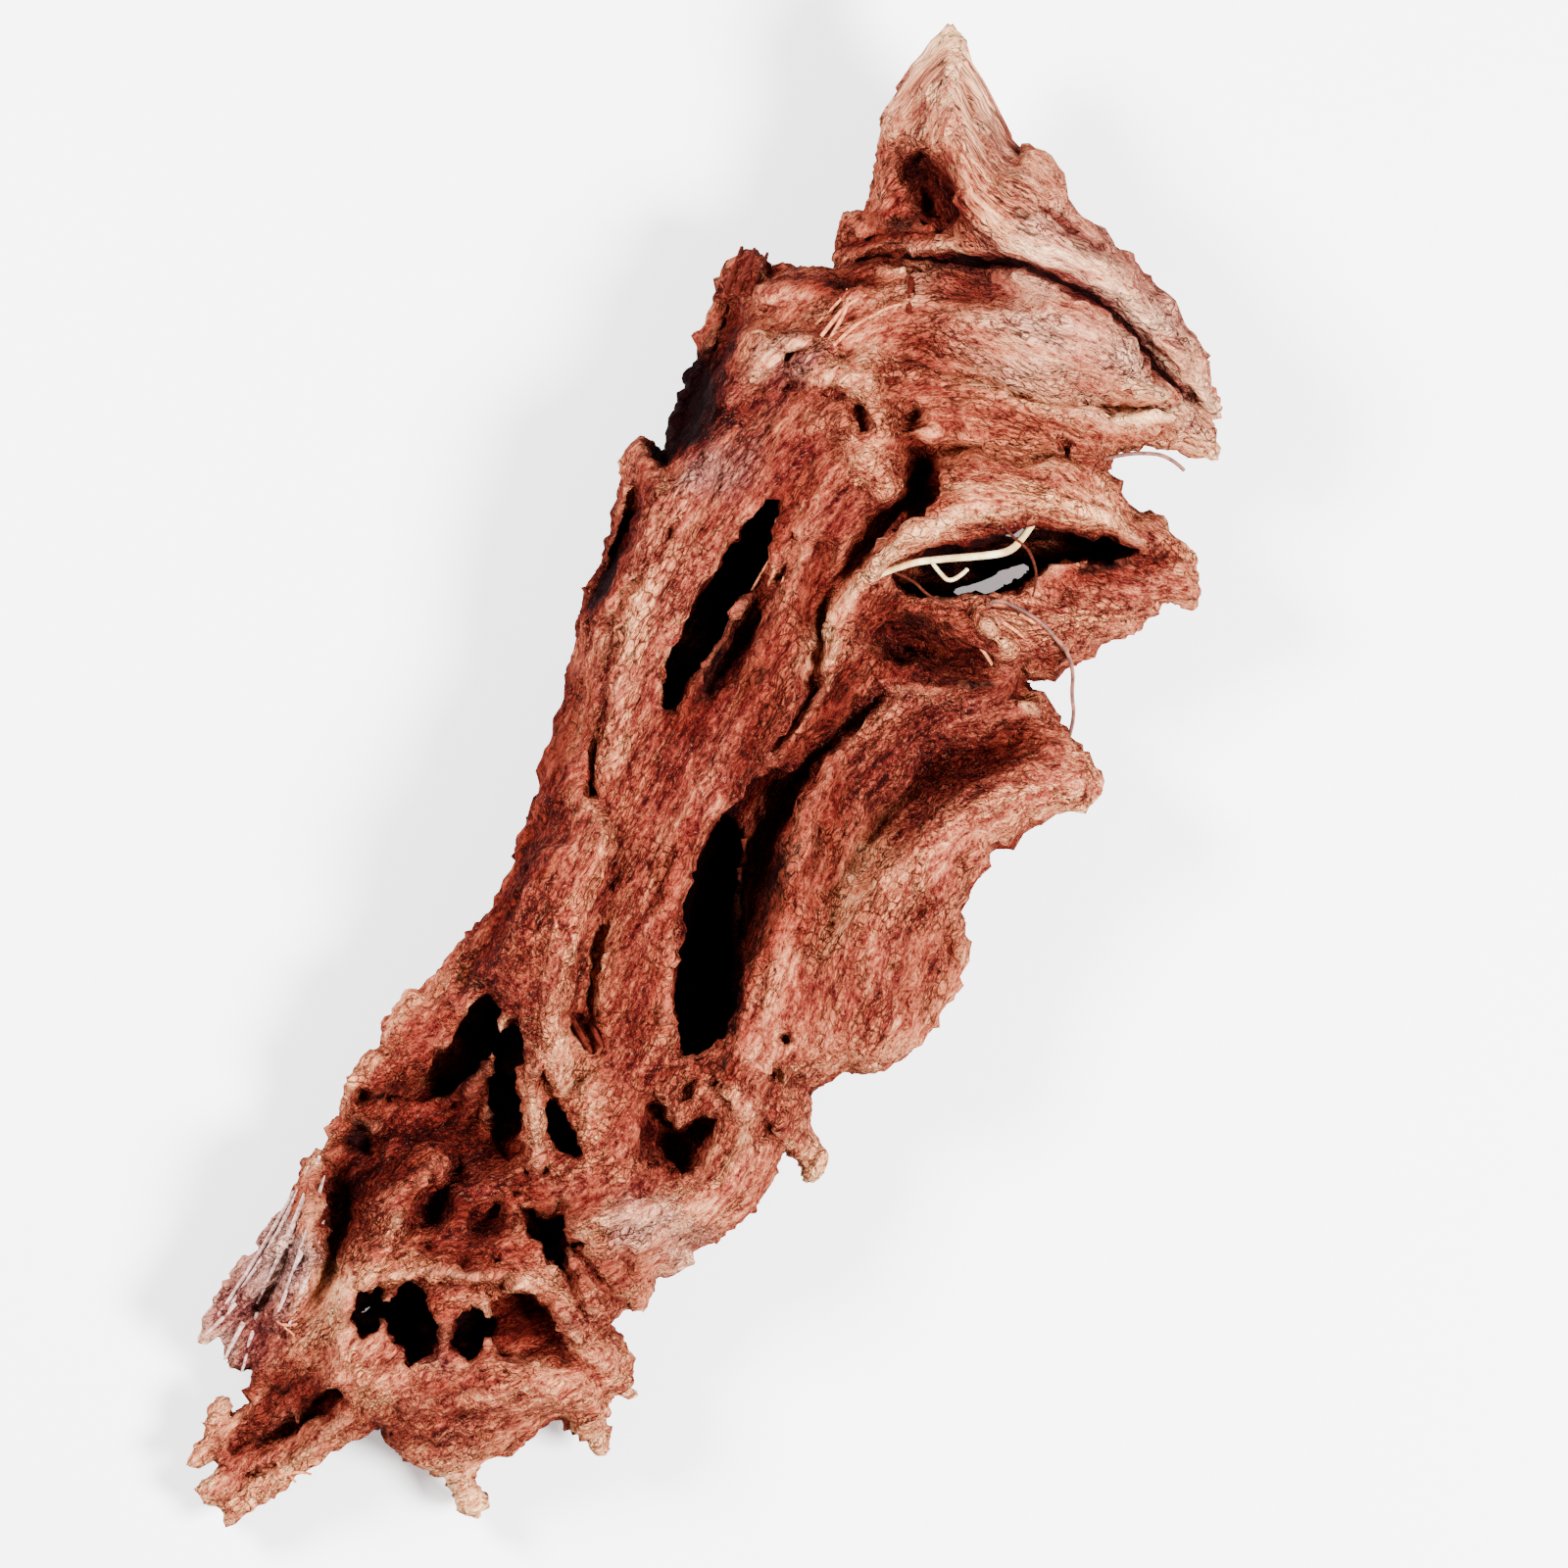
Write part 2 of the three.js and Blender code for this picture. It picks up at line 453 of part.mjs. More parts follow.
// Noise that is the same on every run: a few crossed waves, each [x, y, z, phase, strength].
const LUMPS = [
  [0.043, 0.021, 0.031, 0.4, 1.0], [-0.027, 0.049, 0.038, 1.9, 1.0], [0.071, -0.036, 0.052, 3.1, 0.7],
  [0.018, 0.083, -0.061, 5.2, 0.6], [-0.094, -0.058, 0.047, 2.3, 0.5], [0.112, 0.067, 0.084, 4.4, 0.4],
];
const LUMP_HEIGHT = 1.7;

const clamp = (value, low, high) => Math.min(high, Math.max(low, value));

function smoothMax(a, b, blend) {
  const overlap = Math.max(blend - Math.abs(a - b), 0) / blend;
  return Math.max(a, b) + (overlap * overlap * blend) / 4;
}

const smoothMin = (a, b, blend) => -smoothMax(-a, -b, blend);

// The nearest point of a way to (across, down): its distance, height and width there.
function nearestOnPlan(way, across, down) {
  let best = { distance: Infinity, height: 0, width: 1 };
  for (let i = 0; i + 1 < way.length; i += 1) {
    const [u0, v0, h0, left0, right0 = left0] = way[i];
    const [u1, v1, h1, left1, right1 = left1] = way[i + 1];
    const du = u1 - u0;
    const dv = v1 - v0;
    const t = clamp(((across - u0) * du + (down - v0) * dv) / (du * du + dv * dv), 0, 1);
    const offU = across - u0 - t * du;
    const offV = down - v0 - t * dv;
    const distance = Math.hypot(offU, offV);
    if (distance < best.distance) {
      const onLeft = offU * dv - offV * du > 0;
      const width = onLeft ? left0 + t * (left1 - left0) : right0 + t * (right1 - right0);
      best = { distance, height: h0 + t * (h1 - h0), width: Math.max(width, LEAST_WIDTH) };
    }
  }
  return best;
}

// Distance to an outline, positive inside it.
function insideOutline(outline, across, down) {
  let inside = false;
  let nearest = Infinity;
  outline.forEach(([u1, v1], i) => {
    const [u0, v0] = outline.at(i - 1);
    if (v0 > down !== v1 > down && across < u0 + ((down - v0) / (v1 - v0)) * (u1 - u0)) inside = !inside;
    const du = u1 - u0;
    const dv = v1 - v0;
    const t = clamp(((across - u0) * du + (down - v0) * dv) / (du * du + dv * dv), 0, 1);
    nearest = Math.min(nearest, Math.hypot(across - u0 - t * du, down - v0 - t * dv));
  });
  return inside ? nearest : -nearest;
}

// The height at a point of the plan, blended from stated ones.
function blendedHeight(heights, softness, across, down) {
  let sum = 0;
  let weights = 0;
  for (const [u, v, height] of heights) {
    const weight = 1 / ((across - u) ** 2 + (down - v) ** 2 + softness ** 2) ** 2;
    sum += weight * height;
    weights += weight;
  }
  return sum / weights;
}

// The front's and the back's height at a point of the plan, and the distance to the outline.
function planColumn(across, down) {
  const edge = insideOutline(OUTLINE, across, down) + OUTLINE_GROWTH;
  if (edge < -3 * CELL) return { edge, top: -1e3, bottom: 1e3 };
  const middle = blendedHeight(MIDDLE, MIDDLE_SOFTNESS, across, down);
  let top = blendedHeight(FRONT, FRONT_SOFTNESS, across, down);
  for (const way of Object.values(CRESTS)) {
    const { distance, height, width } = nearestOnPlan(way, across, down);
    top = smoothMax(top, height - CREST_DROP * (distance / width) ** CREST_POWER, CREST_BLEND);
  }
  for (const way of Object.values(VALLEYS)) {
    const { distance, height: depth, width } = nearestOnPlan(way, across, down);
    if (distance < width) top -= depth * (1 - (distance / width) ** 2) ** 2;
  }
  let bottom = middle - BACK_BODY;
  for (const way of Object.values(KEELS)) {
    const { distance, height, width } = nearestOnPlan(way, across, down);
    bottom = smoothMin(bottom, height + CREST_DROP * (distance / width) ** 2, CREST_BLEND);
  }
  const inward = clamp(edge / EDGE_ROUNDING, 0, 1);
  const rounding = Math.sqrt(inward * (2 - inward));
  return {
    edge,
    top: middle + (top - middle) * rounding,
    bottom: middle + (bottom - middle) * rounding,
  };
}

// Distance from a hollow's surface, positive outside it.
function outsideHollow({ way, tall }, across, down, up) {
  let nearest = Infinity;
  const ends = way.length > 1 ? way : [way[0], way[0]];
  for (let i = 0; i + 1 < ends.length; i += 1) {
    const [u0, v0, h0, r0] = ends[i];
    const [u1, v1, h1, r1] = ends[i + 1];
    const du = u1 - u0;
    const dv = v1 - v0;
    const dh = (h1 - h0) / tall;
    const along = (across - u0) * du + (down - v0) * dv + ((up - h0) / tall) * dh;
    const t = clamp(along / (du * du + dv * dv + dh * dh + 1e-9), 0, 1);
    const off = Math.hypot(across - u0 - t * du, down - v0 - t * dv, (up - h0) / tall - t * dh);
    nearest = Math.min(nearest, off - (r0 + t * (r1 - r0)));
  }
  return nearest;
}

// Distance from the side and the floor of a steep hollow, positive outside it.
function outsideWell({ floor, side }, up) {
  return smoothMax(side, floor - up, WELL_BLEND);
}

function lumps(across, down, up) {
  let sum = 0;
  for (const [x, y, z, phase, strength] of LUMPS) {
    sum += strength * Math.sin(x * across + y * down + z * up + phase);
  }
  return LUMP_HEIGHT * sum;
}

// The field over the whole grid, positive inside the wood.
function sampleField() {
  const count = (span) => Math.round((span[1] - span[0]) / CELL) + 1;
  const size = [count(PLAN_BOX.across), count(PLAN_BOX.down), count(PLAN_BOX.up)];
  const values = new Float32Array(size[0] * size[1] * size[2]);
  for (let j = 0; j < size[1]; j += 1) {
    for (let i = 0; i < size[0]; i += 1) {
      const across = PLAN_BOX.across[0] + i * CELL;
      const down = PLAN_BOX.down[0] + j * CELL;
      const column = planColumn(across, down);
      const wells = Object.values(WELLS).map(({ floor, outline }) => {
        return { floor, side: -insideOutline(outline, across, down) };
      });
      for (let k = 0; k < size[2]; k += 1) {
        const up = PLAN_BOX.up[0] + k * CELL;
        let value = smoothMin(column.top - up, up - column.bottom, CREST_BLEND);
        value = smoothMin(value, column.edge, HOLLOW_BLEND);
        if (value > -3 * CELL) {
          value += lumps(across, down, up);
          for (const well of wells) value = smoothMin(value, outsideWell(well, up), HOLLOW_BLEND);
          for (const hollow of HOLLOWS) {
            const outside = outsideHollow(hollow, across, down, up);
            if (outside < value + HOLLOW_BLEND) value = smoothMin(value, outside, HOLLOW_BLEND);
          }
        }
        values[i + size[0] * (j + size[1] * k)] = value;
      }
    }
  }
  return { size, values };
}

// A closed mesh where the field is 0, in millimetres, by marching cubes.
function meshOfField({ size, values }) {
  const corners = [
    [0, 0, 0], [1, 0, 0], [1, 1, 0], [0, 1, 0], [0, 0, 1], [1, 0, 1], [1, 1, 1], [0, 1, 1],
  ];
  const edges = [
    [0, 1], [1, 2], [3, 2], [0, 3], [4, 5], [5, 6], [7, 6], [4, 7], [0, 4], [1, 5], [2, 6], [3, 7],
  ];
  const step = [1, size[0], size[0] * size[1]];
  const known = new Map();
  const positions = [];
  const faces = [];

  function vertexOn(i, j, k, edge) {
    const [a, b] = edges[edge].map((c) => corners[c]);
    const from = [i + a[0], j + a[1], k + a[2]];
    const axis = a.findIndex((x, n) => x !== b[n]);
    const cell = from[0] * step[0] + from[1] * step[1] + from[2] * step[2];
    const key = 3 * cell + axis;
    if (!known.has(key)) {
      const inner = values[cell];
      const share = inner / (inner - values[cell + step[axis]]);
      from[axis] += clamp(share, EDGE_MARGIN, 1 - EDGE_MARGIN);
      known.set(key, positions.length / 3);
      positions.push(
        (PLAN_BOX.across[0] + from[0] * CELL) * UNIT,
        -(PLAN_BOX.down[0] + from[1] * CELL) * UNIT,
        (PLAN_BOX.up[0] + from[2] * CELL) * UNIT,
      );
    }
    return known.get(key);
  }

  for (let k = 0; k + 1 < size[2]; k += 1) {
    for (let j = 0; j + 1 < size[1]; j += 1) {
      for (let i = 0; i + 1 < size[0]; i += 1) {
        let which = 0;
        corners.forEach(([x, y, z], c) => {
          if (values[(i + x) * step[0] + (j + y) * step[1] + (k + z) * step[2]] > 0) which |= 1 << c;
        });
        for (let n = 16 * which; triTable[n] >= 0; n += 1) faces.push(vertexOn(i, j, k, triTable[n]));
      }
    }
  }
  const geometry = new THREE.BufferGeometry();
  geometry.setAttribute("position", new THREE.Float32BufferAttribute(positions, 3));
  geometry.setIndex(faces);
  return geometry;
}

const wasm = await Module();
wasm.setup();

function toSolid(geometry) {
  const bare = new THREE.BufferGeometry();
  bare.setAttribute("position", geometry.getAttribute("position"));
  if (geometry.index) bare.setIndex(geometry.index);
  const merged = mergeVertices(bare, 1e-4);
  return new wasm.Manifold(
    new wasm.Mesh({
      numProp: 3,
      vertProperties: new Float32Array(merged.attributes.position.array),
      triVerts: new Uint32Array(merged.index.array),
    }),
  );
}

function toGeometry(solid) {
  const { vertProperties, triVerts, numProp } = solid.getMesh();
  const positions = new Float32Array((vertProperties.length / numProp) * 3);
  for (let i = 0; i < positions.length; i += 1) {
    positions[i] = vertProperties[Math.floor(i / 3) * numProp + (i % 3)];
  }
  const geometry = new THREE.BufferGeometry();
  geometry.setAttribute("position", new THREE.BufferAttribute(positions, 3));
  geometry.setIndex(new THREE.BufferAttribute(triVerts, 1));
  geometry.computeVertexNormals();
  return geometry;
}

const largestBody = (solid) => solid.decompose().sort((a, b) => b.volume() - a.volume())[0];

// One stretch of rootlet: a tube along its way, grown by extra millimetres.
function rootletTube(way, extra) {
  const points = way.map(([u, v, h]) => new THREE.Vector3(u * UNIT, -v * UNIT, h * UNIT));
  const radius = (way[0][3] * UNIT) + extra;
  const sides = 6;
  const section = new THREE.Shape(
    Array.from({ length: sides }, (_, n) => {
      const angle = (2 * Math.PI * n) / sides;
      return new THREE.Vector2(radius * Math.cos(angle), radius * Math.sin(angle));
    }),
  );
  return new THREE.ExtrudeGeometry(section, {
    steps: 3 * (way.length - 1),
    bevelEnabled: false,
    extrudePath: new THREE.CatmullRomCurve3(points),
  });
}

function rootletSolid(rootlet, extra) {
  const stretches = rootlet.ways.map((way) => toSolid(rootletTube(way, extra)));
  return stretches.reduce((joined, next) => joined.add(next));
}

// The edges that two folds of the surface share, each as its two ends.
function sharedEdges(solid) {
  const { position } = toGeometry(solid).attributes;
  const { triVerts } = solid.getMesh();
  const edges = new Map();
  triVerts.forEach((from, n) => {
    const to = triVerts[n % 3 === 2 ? n - 2 : n + 1];
    const ends = [from, to].map((i) => new THREE.Vector3().fromBufferAttribute(position, i));
    const key = ends.map((end) => end.toArray().map((x) => x.toFixed(4)).join()).sort().join();
    if (!edges.has(key)) edges.set(key, { ends, uses: 0 });
    edges.get(key).uses += 1;
  });
  return [...edges.values()].filter(({ uses }) => uses > 2).map(({ ends }) => ends);
}

// Folds that share an edge grow together there, by a small knot of wood round the edge.
function fuseFolds(wood) {
  let fused = wood;
  for (const [from, to] of sharedEdges(wood)) {
    const radius = from.distanceTo(to) / 2 + KNOT_MARGIN;
    const knot = new THREE.IcosahedronGeometry(radius, 1).translate(...from.lerp(to, 0.5));
    fused = fused.add(toSolid(knot));
  }
  return largestBody(fused);
}

// The wood: the meshed field with fewer triangles, cut level under its feet, with room for
// the rootlets where they pass into it.
async function woodSolid() {
  const fine = meshOfField(sampleField());
  const surplus = fine.getAttribute("position").count - TRIANGLES / 2;
  const light = await new SimplifyModifier().modify(fine, surplus);
  const span = 3 * LENGTH;
  const aboveFloor = new THREE.BoxGeometry(span, span, LENGTH);
  aboveFloor.translate(PLAN_CENTRE[0] * UNIT, -PLAN_CENTRE[1] * UNIT, LENGTH / 2);
  let wood = fuseFolds(largestBody(toSolid(light))).intersect(toSolid(aboveFloor));
  for (const rootlet of Object.values(ROOTLETS)) wood = wood.subtract(rootletSolid(rootlet, ROOTLET_GAP));
  return fuseFolds(largestBody(wood));
}

function named(name, solid, colour) {
  const material = new THREE.MeshStandardMaterial({ color: colour, roughness: 0.9, metalness: 0 });
  const mesh = new THREE.Mesh(toGeometry(solid), material);
  mesh.name = name;
  return mesh;
}

const driftwood = new THREE.Group();
driftwood.add(named("driftwood", await woodSolid(), WOOD_COLOUR));
for (const [name, rootlet] of Object.entries(ROOTLETS)) {
  driftwood.add(named(name, rootletSolid(rootlet, 0), rootlet.colour));
}

// The plan is turned so that the piece's length lies along Y, with its centre at the origin.
const turn = THREE.MathUtils.degToRad(PLAN_TURN);
const centre = new THREE.Vector3(PLAN_CENTRE[0] * UNIT, -PLAN_CENTRE[1] * UNIT, 0);
driftwood.rotation.z = turn;
driftwood.position.copy(centre.applyAxisAngle(new THREE.Vector3(0, 0, 1), turn).negate());

export default driftwood;
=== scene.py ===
"""Dresses the mangrove driftwood: the weathered wood with its grain, cracks, flecks and worn
edges, with painted shade in its hollows and painted light on some faces, and the dried
rootlets in its arched slot.

The wood is modelled from the same plan as the part's solid, on a finer grid and with more
detail: points are [across, down, height, half width] in plan units, seen from above.
"""

import math

import bpy
import numpy as np
from mathutils import Matrix, Vector


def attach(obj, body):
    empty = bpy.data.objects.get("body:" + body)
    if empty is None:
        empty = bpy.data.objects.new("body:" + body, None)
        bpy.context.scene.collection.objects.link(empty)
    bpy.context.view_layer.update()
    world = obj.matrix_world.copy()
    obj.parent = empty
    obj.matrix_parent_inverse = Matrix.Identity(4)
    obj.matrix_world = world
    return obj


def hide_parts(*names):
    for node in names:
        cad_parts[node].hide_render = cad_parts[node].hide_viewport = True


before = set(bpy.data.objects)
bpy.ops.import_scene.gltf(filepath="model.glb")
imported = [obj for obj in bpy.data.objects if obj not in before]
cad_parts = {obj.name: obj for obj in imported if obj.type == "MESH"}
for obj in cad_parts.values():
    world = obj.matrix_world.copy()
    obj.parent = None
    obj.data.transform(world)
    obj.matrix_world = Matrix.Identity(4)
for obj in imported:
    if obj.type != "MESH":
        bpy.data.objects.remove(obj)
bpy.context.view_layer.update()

# The plan: its unit in metres, its centre, and how far it is turned to lie along Y.
PLAN_UNIT = 0.4245 / 1698
PLAN_CENTRE = (751, 874)
PLAN_TURN = math.radians(28)

# The grid that the wood is sampled on, in plan units.
CELL = 4.5
PLAN_BOX = ((170, 1272), (8, 1576), (-2.25, 346))

# How the surface rounds off, in plan units.
OUTLINE_GROWTH = 2
EDGE_ROUNDING = 34
CREST_DROP = 42
CREST_POWER = 1.3
CREST_BLEND = 12
HOLLOW_BLEND = 5
BACK_BODY = 40

# The wood keeps this share of its faces, and loses most of the rest where it faces down.
FACES_KEPT = 0.55
UNDERSIDE_SLOPE = 0.0

# The front and the back meet this softly, and both meet the edge this softly.
FRONT_BLEND = 10
EDGE_BLEND = 6

# The grain is worked out on this wider grid, and tones blend over this distance.
GRAIN_CELL = 10.0
TONE_SOFTNESS = 40.0

# The crease and the cavity found with these paint shade into creases and hollows, and a partly painted
# highlight onto ridges.
# How far from the surface, in plan units, and over how many cells the wood round it is felt.
CREASE_LIFT = 2
CREASE_REACH = 2
CAVITY_LIFT = 26
CAVITY_REACH = 9

# A point is sunk from this depth below the front, and fully so after the next distance. Near
# the back it counts less. Sunk points are painted darker and then black, as painted shadow.
SUNK_START = 8
SUNK_DEPTH = 105
SUNK_CLEARANCE = 20

# The wood is lighter this near to its outline.
RIM_WIDTH = 30

# The sky that a point sees is measured in so many directions, at these distances in cells.
# Faces that look down count as seeing a fixed share of it. Points that see less of it are painted
# darker, as painted shade.
SKY_WAYS = 12
SKY_STEPS = [1, 2, 3, 5, 8, 12, 18]
DOWNWARD = -0.2
DOWNWARD_SKY = 0.85

# Two lights of this size in metres and power in watts, one each side, and the pale floor.
LIGHT_SIZE = 0.5
LIGHT_TARGET = (0, 0, 0.03)
KEY_POWER = 120
FILL_POWER = 85
WORLD_STRENGTH = 0.42
FLOOR_SIZE = 12
FLOOR_LIGHTNESS = 0.92
FLOOR_GLOW = 0.45

# The camera stands straight above the middle of the photograph, as the photograph does.
VIEW_CENTRE = (800, 800)
VIEW_WIDTH = 0.4
VIEW_HEIGHT = 4.0
OUTLINE_LEVEL = 0.03
SENSOR = 36

# The rootlets are finer than their solids.
ROOTLET_THINNESS = 0.7

# The outline of the piece, clockwise from the tip.
OUTLINE = [
    [968, 28], [980, 38], [988, 60], [999, 98], [1010, 120], [1029, 152], [1038, 163], [1046, 155],
    [1061, 158], [1070, 172], [1083, 195], [1094, 218], [1106, 232], [1124, 241], [1139, 261],
    [1158, 275], [1180, 298], [1198, 312], [1206, 335], [1221, 348], [1227, 367], [1232, 385],
    [1241, 406], [1245, 428], [1233, 426], [1239, 442], [1244, 468], [1222, 462], [1200, 452],
    [1163, 456], [1130, 466], [1127, 481], [1142, 503], [1158, 527], [1174, 530], [1192, 542],
    [1207, 557], [1217, 575], [1222, 595], [1220, 618], [1205, 620], [1196, 612], [1175, 622],
    [1160, 633], [1157, 641], [1135, 651], [1115, 662], [1095, 676], [1062, 694], [1048, 691],
    [1041, 678], [1043, 698], [1050, 706], [1062, 706], [1072, 722], [1081, 740], [1096, 758],
    [1111, 777], [1123, 803], [1116, 815], [1106, 827], [1080, 829], [1055, 838], [1030, 858],
    [1012, 864], [1006, 880], [991, 903], [990, 920], [980, 926], [985, 947], [984, 988],
    [966, 1020], [955, 1042], [940, 1060], [920, 1073], [900, 1088], [865, 1094], [822, 1110],
    [828, 1145], [831, 1168], [838, 1186], [832, 1201], [818, 1192], [806, 1180], [798, 1170],
    [788, 1200], [778, 1220], [765, 1236], [750, 1250], [730, 1264], [696, 1275], [710, 1289],
    [690, 1300], [668, 1301], [667, 1318], [655, 1338], [640, 1334], [629, 1342], [621, 1356],
    [637, 1368], [643, 1385], [642, 1405], [646, 1424], [632, 1425], [620, 1421], [618, 1438],
    [610, 1448], [617, 1468], [610, 1481], [598, 1468], [578, 1453], [560, 1451], [545, 1460],
    [528, 1468], [520, 1481], [500, 1487], [486, 1500], [483, 1515], [491, 1535], [484, 1552],
    [472, 1543], [462, 1526], [450, 1507], [440, 1499], [420, 1494], [405, 1483], [386, 1459],
    [365, 1470], [345, 1474], [330, 1482], [318, 1493], [300, 1510], [278, 1524], [262, 1533],
    [248, 1546], [232, 1556], [221, 1545], [207, 1535], [203, 1517], [214, 1512], [222, 1496],
    [214, 1495], [200, 1502], [193, 1494], [198, 1481], [210, 1465], [213, 1441], [228, 1431],
    [232, 1447], [242, 1445], [254, 1430], [259, 1410], [256, 1392], [244, 1400], [230, 1388],
    [224, 1363], [203, 1368], [210, 1345], [222, 1325], [234, 1312], [240, 1295], [258, 1285],
    [268, 1262], [280, 1243], [295, 1225], [307, 1202], [321, 1173], [331, 1178], [337, 1152],
    [347, 1140], [352, 1112], [372, 1080], [395, 1072], [397, 1045], [408, 1027], [420, 1016],
    [436, 1012], [452, 992], [468, 968], [488, 945], [506, 928], [513, 903], [522, 884], [530, 855],
    [544, 839], [552, 797], [564, 763], [576, 720], [586, 672], [593, 640], [598, 600], [608, 592],
    [620, 550], [629, 522], [640, 470], [648, 452], [655, 446], [663, 457], [680, 474], [684, 440],
    [692, 414], [702, 398], [704, 383], [713, 377], [714, 345], [721, 320], [728, 297], [738, 268],
    [758, 255], [777, 258], [785, 280], [800, 274], [853, 278], [853, 240], [858, 215], [882, 216],
    [889, 195], [894, 178], [895, 145], [902, 115], [918, 90], [930, 70], [945, 53],
]

# Heights of the middle of the wood, between its front and its back: [across, down, height].
MIDDLE = [
    [968, 60, 175], [1040, 220, 190], [1060, 380, 175], [1225, 430, 125], [870, 240, 140],
    [760, 280, 100], [700, 420, 85], [655, 480, 110], [850, 450, 150], [605, 640, 110],
    [730, 620, 130], [960, 560, 135], [1200, 580, 135], [1080, 660, 95], [950, 660, 95],
    [1100, 800, 110], [880, 820, 120], [960, 970, 105], [640, 860, 130], [545, 860, 120],
    [720, 1030, 120], [850, 1080, 110], [830, 1180, 95], [470, 970, 120], [560, 1080, 125],
    [400, 1060, 120], [340, 1170, 95], [440, 1200, 110], [760, 1200, 110], [640, 1250, 115],
    [700, 1290, 95], [230, 1340, 90], [330, 1340, 100], [450, 1360, 100], [640, 1400, 95],
    [560, 1400, 100], [450, 1470, 85], [485, 1540, 55], [612, 1472, 65], [330, 1460, 80],
    [205, 1490, 65], [230, 1530, 60],
]

# Heights of the front: [across, down, height].
FRONT = [
    [966, 50, 200], [925, 120, 212], [985, 150, 252], [945, 200, 226], [1030, 200, 262],
    [1080, 235, 262], [870, 245, 168], [930, 262, 205], [1140, 300, 255], [1190, 350, 222],
    [940, 310, 240], [1010, 345, 252], [1090, 350, 268], [1160, 400, 240], [1215, 440, 170],
    [960, 405, 226], [1040, 425, 226], [1120, 445, 200], [765, 275, 110], [740, 350, 90],
    [702, 410, 70], [800, 300, 200], [860, 315, 226], [800, 375, 236], [865, 400, 258],
    [905, 460, 256], [735, 435, 214], [655, 470, 120], [612, 590, 130], [600, 700, 160],
    [690, 500, 226], [740, 500, 226], [680, 600, 236], [650, 720, 226], [625, 800, 216],
    [800, 470, 238], [840, 520, 236], [810, 620, 226], [770, 720, 224], [715, 790, 224],
    [680, 870, 222], [900, 510, 226], [960, 490, 212], [880, 560, 240], [860, 660, 222],
    [1000, 515, 250], [1090, 500, 232], [1160, 545, 196], [1205, 590, 160], [1120, 610, 166],
    [1040, 640, 176], [930, 650, 172], [985, 690, 182], [900, 700, 204], [830, 720, 206],
    [960, 760, 152], [1050, 735, 150], [890, 800, 166], [850, 870, 180], [1040, 810, 182],
    [970, 880, 194], [900, 950, 204], [975, 980, 150], [850, 1040, 196], [795, 960, 206],
    [770, 1060, 206], [640, 900, 212], [650, 1000, 208], [660, 1100, 200], [610, 1180, 202],
    [590, 880, 214], [540, 930, 200], [480, 1000, 172], [430, 1050, 156], [560, 1040, 210],
    [560, 1120, 190], [430, 1150, 112], [380, 1170, 118], [480, 1170, 120], [350, 1230, 104],
    [320, 1300, 130], [275, 1290, 130], [235, 1350, 98], [400, 1260, 166], [450, 1250, 168],
    [520, 1240, 176], [560, 1290, 178], [380, 1370, 168], [460, 1330, 184], [560, 1340, 188],
    [450, 1405, 172], [560, 1400, 168], [640, 1400, 140], [450, 1460, 120], [485, 1530, 76],
    [600, 1445, 120], [300, 1450, 92], [250, 1500, 80], [210, 1500, 70], [340, 1420, 130],
    [700, 1170, 176], [760, 1180, 184], [700, 1245, 186], [620, 1250, 202], [640, 1310, 158],
    [700, 1290, 132], [820, 1150, 150], [830, 1195, 112],
]

